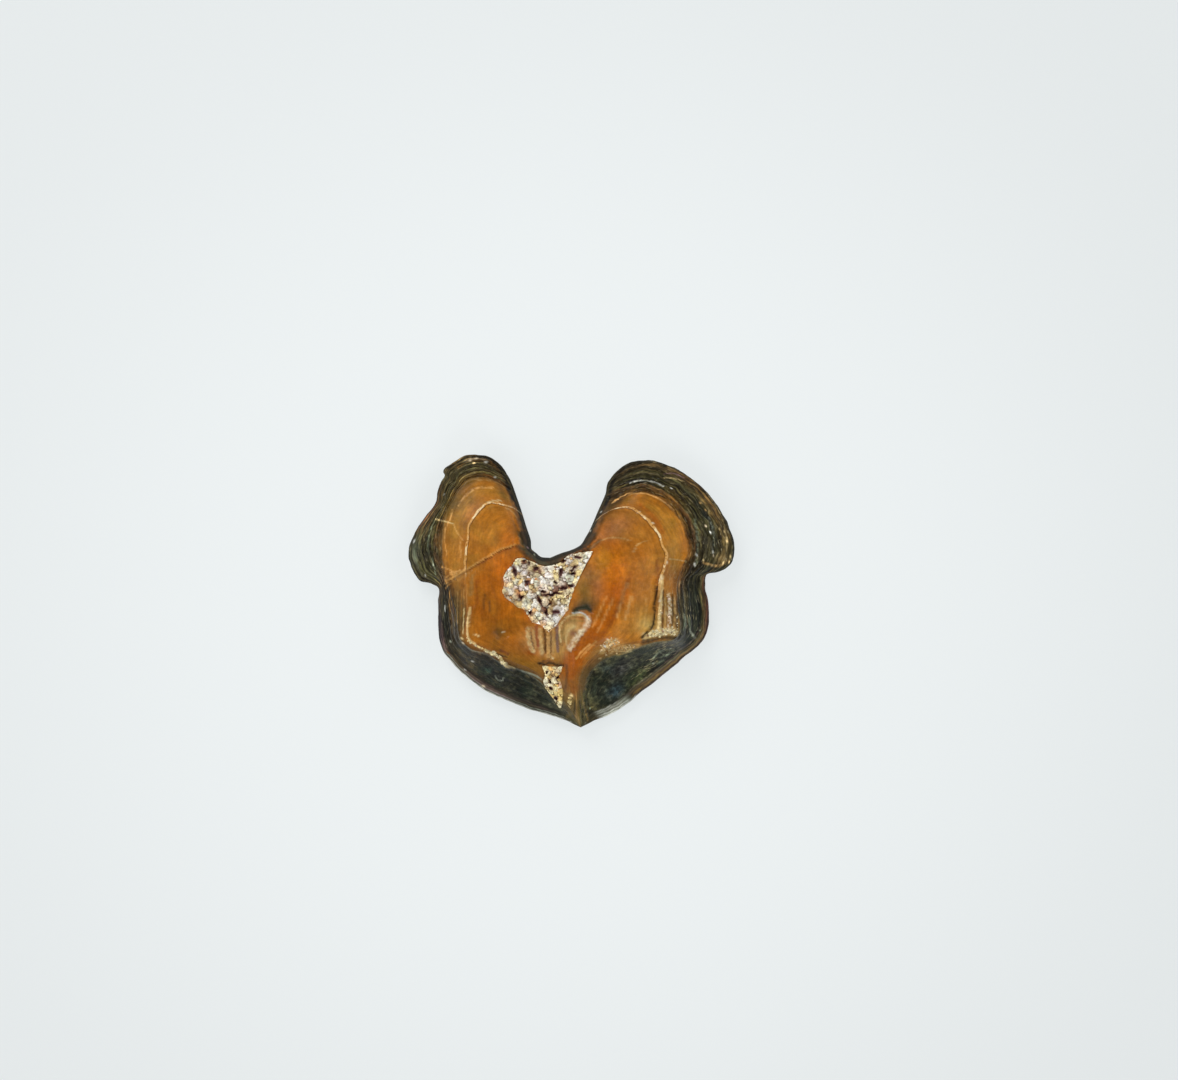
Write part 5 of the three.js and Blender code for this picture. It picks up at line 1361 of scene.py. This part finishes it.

# %% Enamel: the pale line, painted as the lit edge of its ledge, with a painted shadow along its inner side
LINE_SHADOW, LINE_DULL, LINE_BRIGHT = (84, 44, 14), (224, 170, 98), (253, 228, 176)
off = net.math("ADD", net.attribute("off_line"), net.swing(clouds, 0.05))
strength = net.times(net.attribute("line"), net.step(specks, 0.32, 0.48))
pale_line = net.step(net.math("ABSOLUTE", net.math("SUBTRACT", off, 0.016)), 0.044, 0.022)
pale_line_shadow = net.step(net.math("ABSOLUTE", net.math("ADD", off, 0.03)), 0.03, 0.008)
lined = net.mix(net.times(net.times(pale_line_shadow, strength), 0.8), stained, LINE_SHADOW)
bright = net.mix(net.step(clouds, 0.46, 0.56), LINE_DULL, LINE_BRIGHT)
lined = net.mix(net.times(net.times(pale_line, strength), 0.95), lined, bright)

# %% Enamel: gloss and fine relief
ENAMEL_DEPTH = 0.000025  # m
worn = net.math("MULTIPLY_ADD", net.attribute("edge"), 0.5, 0.15)
roughness = net.math("MULTIPLY_ADD", specks, 0.25, worn)
grooves = net.times(stripes, net.math("ADD", striped, 0.1))
net.finish(shader, lined, roughness, net.math("ADD", grooves, net.times(specks, 0.15)), ENAMEL_DEPTH)
shader.inputs["Specular IOR Level"].default_value = 0.12
tooth.data.materials.append(enamel)
print("enamel nodes:", len(enamel.node_tree.nodes))

# %% [markdown]
# ## Sand grains
# The matrix is sand cemented by lime. Seen close it is a heap of pale, rounded grains with dark gaps.
# Flat noise never gives those overlaps, so each grain is a small closed lump: a sphere of five rings
# and eight columns, its points pushed in and out, then stretched and turned at random.

# %% Lumpy grains
GRAIN_RINGS, GRAIN_COLUMNS = 5, 8
GRAIN_POINTS = GRAIN_RINGS * GRAIN_COLUMNS + 2  # with the two poles


def unit_grain():
    """Points of a unit sphere, rings first and the two poles last, and its triangles."""
    down = np.pi * np.arange(1, GRAIN_RINGS + 1) / (GRAIN_RINGS + 1)
    about = 2 * np.pi * np.arange(GRAIN_COLUMNS) / GRAIN_COLUMNS
    rings = np.stack([
        np.outer(np.sin(down), np.cos(about)), np.outer(np.sin(down), np.sin(about)),
        np.outer(np.cos(down), np.ones(GRAIN_COLUMNS)),
    ], -1)
    grid = np.arange(GRAIN_POINTS - 2).reshape(GRAIN_RINGS, GRAIN_COLUMNS)
    grid = np.concatenate([grid, grid[:, :1]], axis=1)
    top = np.stack([np.full(GRAIN_COLUMNS, GRAIN_POINTS - 2), grid[0, :-1], grid[0, 1:]], -1)
    base = np.stack([np.full(GRAIN_COLUMNS, GRAIN_POINTS - 1), grid[-1, 1:], grid[-1, :-1]], -1)
    poles = [[0, 0, 1], [0, 0, -1]]
    return np.vstack([rings.reshape(-1, 3), poles]), np.concatenate([quads(grid), top, base])


def lumps(centres, radii, seed, uneven):
    """Closed grains: (1 + noise) x unit sphere x three random stretches, turned, at each centre."""
    rng = np.random.default_rng(seed)
    sphere, faces = unit_grain()
    count = len(centres)
    push = 1 + rng.uniform(-uneven, uneven, (count, GRAIN_POINTS, 1))
    turns, _ = np.linalg.qr(rng.normal(size=(count, 3, 3)))
    turns *= np.sign(np.linalg.det(turns))[:, None, None]
    shape = push * sphere * rng.uniform(0.7, 1.2, (count, 1, 3)) * np.asarray(radii)[:, None, None]
    spots = np.einsum("nij,nkj->nki", turns, shape) + np.asarray(centres)[:, None]
    first_points = GRAIN_POINTS * np.arange(count)[:, None, None]
    return spots.reshape(-1, 3), (faces[None] + first_points).reshape(-1, 3)


# %% Where grains lie
def scatter(outline, sizes, seed, crowd):
    """Grain places inside an outline, big ones first, each kept if it is clear of those before it."""
    rng = np.random.default_rng(seed)
    ring = np.array(outline)
    places = np.zeros((0, 3))
    for size, tries in sizes:
        tried = rng.uniform(ring.min(axis=0), ring.max(axis=0), (tries, 2))
        tried = tried[inside(outline, *tried.T) > 0.2 * size]
        for x, y in tried:
            r = size * rng.uniform(0.8, 1.2)
            if np.all(np.hypot(places[:, 0] - x, places[:, 1] - y) > crowd * (places[:, 2] + r)):
                places = np.vstack([places, [x, y, r]])
    return places


plate = np.concatenate([np.dstack([w["top"][..., :2], w["plain"]]).reshape(-1, 3) for w in shaped])
print("points of the plate before its hollows:", len(plate))


def height_at(x, y):
    """Height of the plate at each place: the value at the nearest of its points."""
    nearest = [np.argmin((plate[:, 0] - a) ** 2 + (plate[:, 1] - b) ** 2) for a, b in zip(x, y)]
    return plate[nearest, 2]


def bowl(outline):
    """Cubic surface fitted to the plate's height inside an outline, as a function of x and y."""
    x, y, z = plate.T
    near = inside(outline, x, y) > -0.05

    def terms(x, y):
        return np.stack([x**i * y**j for i in range(4) for j in range(4 - i)], axis=-1)

    weights, *_ = np.linalg.lstsq(terms(x[near], y[near]), z[near], rcond=None)
    return lambda x, y: terms(x, y) @ weights


# %% [markdown]
# ## Matrix
# Each hollow holds one lump of cemented sand. Its body is a surface that follows the plate, domed
# and pitted, closed below inside the hollow; grains of four sizes are sunk in it. Pits are places
# where grains fell out, so no loose grain is put there and the body is deep. The brown cement is
# painted darker in the grooves between grains, and the pits darker towards their floor, as painted shade.

# %% Pits
PITS = [  # place, radii in mm, turn in degrees
    ((-1.85, 0.66), (0.055, 0.17), 8), ((-1.42, 0.3), (0.1, 0.08), 30), ((-1.15, 0.73), (0.11, 0.1), 0),
    ((-1.54, 0.99), (0.05, 0.05), 0), ((-1.37, 0.91), (0.05, 0.07), 0), ((-1.64, -0.16), (0.06, 0.1), 0),
    ((-1.33, -0.68), (0.06, 0.05), 0), ((-0.5, -0.66), (0.13, 0.1), 0), ((-0.82, -0.65), (0.05, 0.12), 0),
    ((-1.03, -0.29), (0.06, 0.2), 30), ((-0.64, -0.09), (0.36, 0.05), 7),
    ((-0.26, 0.12), (0.14, 0.06), 10), ((0, 0.17), (0.1, 0.06), 20), ((-0.32, 0.6), (0.06, 0.14), -15),
    ((0.21, 1.12), (0.13, 0.06), 0), ((-0.25, 0.98), (0.1, 0.05), 0), ((0.08, 0.73), (0.13, 0.04), 35),
    ((0.05, 0.58), (0.12, 0.05), 10), ((-0.51, 0.29), (0.09, 0.04), -40),
    ((-0.89, -0.01), (0.08, 0.04), 0), ((-0.74, -0.42), (0.1, 0.05), 40),
    ((-0.43, -2.78), (0.06, 0.09), 0), ((-0.64, -3.17), (0.05, 0.05), 0), ((-0.8, -2.61), (0.05, 0.06), 0),
    ((-0.51, -3.47), (0.06, 0.05), 0), ((-0.7, -2.91), (0.04, 0.08), 20),
]

# %% Colours of the matrix
GRAIN_COLOURS = [  # colour, share of the grains
    ((255, 250, 236), 0.17), ((252, 243, 214), 0.15), ((248, 232, 186), 0.14), ((242, 220, 156), 0.12),
    ((236, 208, 144), 0.09), ((224, 184, 128), 0.08), ((220, 220, 194), 0.07), ((246, 236, 228), 0.05),
    ((222, 172, 112), 0.03), ((186, 124, 72), 0.02), ((174, 146, 96), 0.05), ((128, 86, 60), 0.03),
]
# cement and pit colours, darkened as painted shade in the grooves and the pits
CEMENT_AND_SHADE, PIT_WALL, PIT_SHADE, SAND_RIM = (120, 70, 48), (92, 40, 38), (44, 24, 24), (120, 84, 60)
MATRIX_SPOTS = [  # place, radius in mm, colour
    ((-1.52, 0.63), 0.14, (226, 226, 238)), ((-1.7, -0.07), 0.13, (196, 92, 20)),
    ((-0.8, 0.76), 0.17, (240, 238, 230)), ((-0.85, 0.37), 0.16, (236, 238, 228)),
    ((-1.43, -0.32), 0.16, (190, 196, 180)), ((-0.26, -0.58), 0.15, (240, 238, 238)),
    ((-0.57, -0.91), 0.18, (226, 228, 226)), ((-0.51, 0.55), 0.13, (234, 214, 150)),
    ((-0.28, -0.24), 0.15, (232, 216, 156)), ((-1.1, -0.81), 0.16, (204, 210, 184)),
    ((-2.07, -0.01), 0.14, (216, 212, 184)), ((-1.79, 0.94), 0.13, (224, 214, 150)),
    ((0.33, 1.24), 0.13, (234, 222, 180)), ((0.41, 0.75), 0.12, (240, 230, 200)),
    ((-1, 0.14), 0.12, (222, 160, 120)), ((-1.26, 0.04), 0.13, (228, 196, 140)),
    ((-0.77, -0.29), 0.13, (176, 128, 72)), ((-1.89, 0.43), 0.1, (236, 200, 120)),
    ((-0.44, -2.52), 0.14, (238, 226, 190)), ((-0.8, -3.24), 0.14, (232, 210, 140)),
    ((-0.54, -3.24), 0.12, (236, 214, 150)), ((-0.38, -3.01), 0.08, (190, 110, 60)),
    ((-0.84, -3.01), 0.12, (232, 226, 200)), ((-0.44, -3.66), 0.1, (236, 224, 172)),
    ((0.05, 0.83), 0.2, (126, 88, 60)), ((-1.52, 0.89), 0.16, (136, 112, 80)),
    ((-1.89, -0.35), 0.16, (122, 88, 50)), ((-1.82, 0.07), 0.12, (170, 128, 76)),
    ((-0.57, -0.39), 0.2, (104, 66, 26)), ((-2.15, 0.3), 0.14, (196, 130, 56)),
    ((-2.11, -0.12), 0.13, (150, 100, 40)), ((0.18, 1.32), 0.14, (250, 244, 226)),
    ((-0.41, 1.12), 0.14, (246, 236, 214)), ((-0.87, 0.11), 0.18, (250, 246, 236)),
    ((-0.34, 0.3), 0.14, (250, 240, 220)), ((-0.84, -0.88), 0.12, (250, 248, 246)),
    ((-0.61, -2.75), 0.1, (140, 110, 76)), ((-1.26, 0.63), 0.15, (140, 112, 80)),
]


def pick_tints(rng, count):
    """As many colours, each as likely as its share."""
    tints = np.array([srgb(*colour) for colour, _ in GRAIN_COLOURS])
    return tints[rng.choice(len(tints), count, p=[share for _, share in GRAIN_COLOURS])]


def spotted(colour, x, y, strength=0.75):
    """Colour with the matrix's own spots over it."""
    for at, radius, shade in MATRIX_SPOTS:
        colour = paint(colour, shade, strength * spot(x, y, at, (radius, radius)))
    return colour


print("pits:", len(PITS), "spots:", len(MATRIX_SPOTS))


# %% Cemented grains
def cemented(x, y, places, seed):
    """Nearest grain, distance from it in radii, and how much nearer it is than the next, at each point."""
    wx, wy = (c + 0.045 * drift(x, y, 0.2, seed + k, 2) for k, c in enumerate((x, y)))
    far = np.hypot(wx.reshape(-1, 1) - places[:, 0], wy.reshape(-1, 1) - places[:, 1]) / places[:, 2]
    first, second = np.partition(far, 1, axis=1)[:, :2].T
    return [part.reshape(x.shape) for part in (np.argmin(far, axis=1), first, second - first)]


# %% The body of a lump
BODY_SUNK, FLOOR_DROP = 0.035, 0.12  # mm below the plate's surface, and below the body's lowest point
PIT_DEPTH, CEMENT_DEPTH = 0.15, 0.05  # mm


def matrix_body(outline, centre, crown, seed, places, tints, rings, spokes):
    """Closed lump over an outline: rings out from its centre, and a flat floor inside the hollow."""
    ring = np.array(outline)[:: 1 if np.sum(np.cross(outline, np.roll(outline, -1, axis=0))) > 0 else -1]
    closed = np.vstack([ring, ring[:1]])
    around = np.linspace(0, len(ring), spokes, endpoint=False)
    edge = np.stack([np.interp(around, np.arange(len(closed)), closed[:, i]) for i in range(2)], -1)
    share = np.linspace(0, 1, rings + 1)[1:, None] ** 0.7
    x, y = (centre[i] + share * (edge[:, i] - centre[i]) for i in range(2))

    nearest, out, gap = cemented(x, y, places, seed)
    ragged = 0.05 * drift(x, y, 0.16, seed + 5, 2)
    pit = np.max([spot(x + ragged, y - ragged, *row) for row in PITS], axis=0)
    body = 1 - share**10
    grit = drift(x, y, 0.06, seed + 2, 2)
    grooves_and_shade = (1 - smooth(0, 0.3, gap)) * smooth(-0.35, 0.35, drift(x, y, 0.25, seed + 4, 2))
    lump = 1.3 * places[nearest, 2] * (np.sqrt(np.clip(1 - 0.6 * out**2, 0.04, 1)) - 0.55)
    z = bowl(outline)(x, y) - BODY_SUNK + body * (crown * (1 - share**2) + lump + 0.01 * grit)
    z = z - PIT_DEPTH * pit - CEMENT_DEPTH * grooves_and_shade * body

    floor = np.full(spokes, z.min() - FLOOR_DROP)
    grid = np.concatenate([np.stack([x, y, z], -1), np.stack([edge[:, 0], edge[:, 1], floor], -1)[None]])
    skin = np.vstack([grid.reshape(-1, 3), [*centre, z[0].mean()], [*centre, floor[0]]])
    index = np.arange((rings + 1) * spokes).reshape(rings + 1, spokes)
    index = np.concatenate([index, index[:, :1]], axis=1)
    hub = np.full(spokes, (rings + 1) * spokes)
    caps = [np.stack([hub, index[0, :-1], index[0, 1:]], -1),
            np.stack([hub + 1, index[-1, 1:], index[-1, :-1]], -1)]
    tint = spotted(tints[nearest], x, y) * (0.97 + 0.4 * grit[..., None])
    # Brown cement in the grooves between grains, painted darker there as their shade; pits maroon, and darker
    # towards their floor as painted shade
    for shade, mask in ((CEMENT_AND_SHADE, 0.95 * grooves_and_shade), (PIT_WALL, 1.7 * pit), (PIT_SHADE, 2 * (pit - 0.6))):
        tint = paint(tint, shade, mask)
    rim = np.tile(srgb(*SAND_RIM), (spokes, 1))
    tint = np.vstack([tint.reshape(-1, 3), rim, tint[0, :1], rim[:1]])
    return skin, np.concatenate([quads(index), *caps]), tint


# %% A lump with its loose grains
LOOSE_EVERY, LOOSE_SIZE, LOOSE_UNEVEN = 4, 0.62, 0.24  # each fourth grain, shrunk, has a loose one on top


def matrix_piece(name, node_name, outline, centre, crown, seed, sizes, rings, spokes, cast=(1, 1, 1)):
    """The body of a matrix lump with its loose grains, as one piece; cast tints all of its grains."""
    places = scatter(outline, sizes, seed + 7, 0.7)
    rng = np.random.default_rng(seed + 9)
    tints = pick_tints(rng, len(places))
    tints = tints * rng.uniform(0.88, 1.2, (len(places), 1)) * cast
    body, body_faces, body_tint = matrix_body(outline, centre, crown, seed, places, tints, rings, spokes)

    loose, loose_tint = places[::LOOSE_EVERY], tints[::LOOSE_EVERY]
    x, y, r = loose.T
    clear = np.all([spot(x, y, *row) < 0.3 for row in PITS], axis=0) & (inside(outline, x, y) > 0.6 * r)
    x, y, r = loose[clear].T
    z = bowl(outline)(x, y) + crown * np.clip(inside(outline, x, y) / 0.5, 0, 1) - 0.03 + 0.1 * r
    grains, grain_faces = lumps(np.column_stack([x, y, z]), LOOSE_SIZE * r, seed + 8, LOOSE_UNEVEN)
    loose_tint = spotted(loose_tint[clear], x, y) * 1.04
    colours = np.vstack([body_tint, np.repeat(loose_tint, GRAIN_POINTS, axis=0)])
    faces = np.vstack([body_faces, grain_faces + len(body)])
    piece = make_piece(name, np.vstack([body, grains]), faces, {"tint": colours})
    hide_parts(node_name)
    print(name, "grains:", len(places), "loose:", len(x), "triangles:", len(faces))
    return piece


# %% Both patches of sand
FILL_SIZES = [(0.14, 150), (0.1, 600), (0.07, 1800), (0.045, 3000)]  # grain radius in mm, places tried
SEAM_SIZES = [(0.11, 200), (0.08, 400), (0.05, 900), (0.035, 900)]
WARM = (1.06, 1, 0.72)
fill = matrix_piece("sand_fill", "matrix_fill", FILL, (-0.77, 0.04), 0.05, 41, FILL_SIZES, 90, 300)
seam = matrix_piece("sand_seam", "matrix_seam", SEAM, (-0.57, -2.98), 0.03, 71, SEAM_SIZES, 50, 180, WARM)

# %% [markdown]
# ## Crust on the lower ridges
# Crumbs of the same sand still stick along the ridges. They are grains again, strewn along paths
# with a little spread and sunk a third of their radius in the enamel, so they look grown on.

# %% Crumbs along paths
CRUMB_PATHS = [  # path, spread in mm, grains, grain radius in mm, colour
    ([(2.48, -1.42), (2.7, -1.35), (2.9, -1.31), (3.13, -1.28), (3.33, -1.3)],
        0.08, 120, 0.042, (230, 212, 156)),
    ([(3.13, -1.14), (3.18, -0.61), (3.15, -0.09)], 0.04, 26, 0.03, (222, 192, 164)),
    ([(2.84, -1.2), (2.87, -0.68), (2.92, -0.29)], 0.03, 18, 0.034, (232, 204, 140)),
    ([(3.43, -1.3), (3.44, -1.07), (3.43, -0.81)], 0.02, 9, 0.024, (212, 202, 158)),
    ([(1.03, -1.86), (1.16, -1.71), (1.3, -1.63), (1.46, -1.6)], 0.11, 60, 0.036, (218, 182, 120)),
    ([(1.16, -1.93), (1.39, -1.86), (1.66, -1.81), (2.02, -1.8)], 0.09, 54, 0.032, (190, 154, 88)),
    ([(-3.35, -1.42), (-3.3, -1.58), (-3.16, -1.68), (-3.03, -1.76), (-2.9, -1.83)],
        0.03, 14, 0.034, (230, 204, 142)),
    ([(-2.74, -1.91), (-2.57, -1.96), (-2.41, -2.04), (-2.3, -2.14), (-2.23, -2.25), (-2.11, -2.39)],
        0.045, 36, 0.045, (232, 218, 166)),
    ([(0, -3.35), (-0.05, -3.58)], 0.03, 7, 0.06, (246, 218, 140)),
    ([(-0.64, -2.12), (-0.59, -2.19)], 0.03, 4, 0.045, (224, 182, 104)),
]
CRUMB_SUNK = 0.35  # share of its radius that a crumb's middle lies below the surface


def crumbs_along(rng, path, spread, count, radius, shade):
    """Rows of x, y, z, radius and colour: points of a path, moved by a bell curve to each side."""
    line = curve(path)
    where = line[rng.integers(0, len(line), count)] + rng.normal(0, spread, (count, 2)) * 0.6
    sizes = radius * rng.uniform(0.45, 1.5, count)
    shades = (0.8 * srgb(*shade) + 0.2 * pick_tints(rng, count)) * rng.uniform(0.65, 1.1, (count, 1))
    return np.column_stack([where, height_at(*where.T) - CRUMB_SUNK * sizes, sizes, shades])


rng = np.random.default_rng(91)
crumbs = np.vstack([crumbs_along(rng, *row) for row in CRUMB_PATHS])
crumb_points, crumb_faces = lumps(crumbs[:, :3], crumbs[:, 3], 92, 0.2)
crumb_tints = np.repeat(crumbs[:, 4:], GRAIN_POINTS, axis=0)
crust = make_piece("sand_crust", crumb_points, crumb_faces, {"tint": crumb_tints})
print("crumbs:", len(crumbs))

# %% [markdown]
# ## The matrix's finish
# Lime and quartz are dull with a few clear grains. The colour of each grain is in its points; the
# material adds fine mottling and a rough, slightly uneven surface.

# %% The matrix material
SAND_SHADOW = (146, 98, 66)
SAND_DEPTH = 0.00002  # m
sand, net, shader = new_material("sand_matrix")
mottle = net.noise(net.place(), 9000.0, 4.0, 0.7)
fine = net.noise(net.place(), 30000.0, 3.0, 0.7)
sandy = net.scaled(net.attribute("tint", "Color"), net.math("EXPONENT", net.swing(mottle, 2.6)))
sandy = net.mix(net.step(mottle, 0.43, 0.32), sandy, SAND_SHADOW)
roughness = net.math("MULTIPLY_ADD", fine, 0.5, 0.35)
net.finish(shader, sandy, roughness, net.math("ADD", mottle, fine), SAND_DEPTH)
for piece in (fill, seam, crust):
    piece.data.materials.append(sand)
print("sand nodes:", len(sand.node_tree.nodes))

# %% [markdown]
# ## Floor
# The tooth lies on a plain pale sheet. Lamps that suit the enamel would leave a sheet grey, so this
# one also glows by itself, a little less far from the tooth than near it.

# %% Floor
FLOOR_HALF, FLOOR_HEIGHT = 2.0, -0.000004  # m; just under the tooth, so the two never coincide
GLOW, GLOW_FADE = (0.64, 0.673, 0.677), 0.12
GLOW_NEAR, GLOW_FAR = 0.006, 0.027  # m from the middle, where the glow begins and ends to fade
floor_mesh = bpy.data.meshes.new("floor")
corners = [(FLOOR_HALF * x, FLOOR_HALF * y, FLOOR_HEIGHT) for x, y in ((-1, -1), (1, -1), (1, 1), (-1, 1))]
floor_mesh.from_pydata(corners, [], [(0, 1, 2, 3)])
floor = bpy.data.objects.new("floor", floor_mesh)
bpy.context.scene.collection.objects.link(floor)
paper, net, shader = new_material("pale_floor")
from_middle = net.node("ShaderNodeVectorMath", {0: net.place()}, operation="LENGTH").outputs["Value"]
fade = net.times(net.step(from_middle, GLOW_NEAR, GLOW_FAR), GLOW_FADE)
net.links.new(net.scaled(GLOW, net.math("SUBTRACT", 1.0, fade)), shader.inputs["Emission Color"])
shader.inputs["Emission Strength"].default_value = 1
shader.inputs["Base Color"].default_value = (0.235, 0.242, 0.243, 1)
shader.inputs["Roughness"].default_value = 0.9
shader.inputs["Specular IOR Level"].default_value = 0.05
floor_mesh.materials.append(paper)
floor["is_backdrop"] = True

# %% [markdown]
# ## Light
# Small glints tell the eye that enamel is polished, and they need small bright lamps that lean in
# from the sides: one key lamp and three weaker ones. The sky is bright round the horizon, which
# lights the flanks of the grains, and dim overhead, which keeps the top of the enamel deep.

# %% Sky and lamps
SKY_HORIZON, SKY_ZENITH = 0.54, 0.12
KEY_POWER, FILL_POWER = 0.068, 0.03  # W
LAMP_DISTANCE, LAMP_LEAN, LAMP_SIZE = 0.12, 50, 0.07  # m, degrees from straight up, m
world = bpy.data.worlds.new("soft_room")
bpy.context.scene.world = world
world.use_nodes = True
sky = world.node_tree.nodes["Background"]
net = Net(world.node_tree)
up = net.node("ShaderNodeSeparateXYZ", {0: net.place("Generated")}).outputs["Z"]
brightness = net.math("MULTIPLY_ADD", net.step(up, 0.15, 0.95), SKY_ZENITH - SKY_HORIZON, SKY_HORIZON)
net.links.new(brightness, sky.inputs["Strength"])
sky.inputs["Color"].default_value = (0.98, 0.99, 1.0, 1)


def lamp(name, azimuth, power):
    """A square soft lamp that faces the tooth; azimuth is in degrees from +x."""
    light = bpy.data.lights.new(name, "AREA")
    light.size, light.energy = LAMP_SIZE, power
    made = bpy.data.objects.new(name, light)
    a, b = np.radians([azimuth, LAMP_LEAN])
    aside = LAMP_DISTANCE * np.sin(b)
    made.location = (aside * np.cos(a), aside * np.sin(a), LAMP_DISTANCE * np.cos(b))
    made.rotation_mode = "QUATERNION"
    made.rotation_quaternion = (-made.location).to_track_quat("-Z", "Y")
    bpy.context.scene.collection.objects.link(made)


lamp("key", 118, KEY_POWER)
for side, azimuth in (("left", 200), ("front", 275), ("right", 20)):
    lamp(side, azimuth, FILL_POWER)
print("lamps:", len(bpy.data.lights))

# %% [markdown]
# ## Camera
# The camera looks straight down from a hand's width above. Its lens follows from how wide a view it
# has to take in at about the level of the tooth's rim. The plain "Standard" view keeps the screen
# colours of the palette as they were chosen.

# %% Camera
VIEW_WIDTH, VIEW_LEVEL = 38.623, 0.6  # mm
AIM, LENS_HEIGHT = (0.574, 1.680), 107.3  # mm, the height above the view's level
SENSOR_WIDTH = 36  # mm
camera_data = bpy.data.cameras.new("camera")
camera = bpy.data.objects.new("camera", camera_data)
bpy.context.scene.collection.objects.link(camera)
bpy.context.scene.camera = camera
camera_data.sensor_width = SENSOR_WIDTH
camera_data.lens = SENSOR_WIDTH * LENS_HEIGHT / VIEW_WIDTH
camera_data.clip_start, camera_data.clip_end = 0.001, 2
camera.location = (AIM[0] * MM, AIM[1] * MM, (LENS_HEIGHT + VIEW_LEVEL) * MM)
bpy.context.scene.view_settings.view_transform = "Standard"
print("lens, mm:", round(camera_data.lens, 1))

# %% Sizes, then the end
low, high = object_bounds()
print("visual box, mm:", np.round(np.array(low) / MM, 3), np.round(np.array(high) / MM, 3))
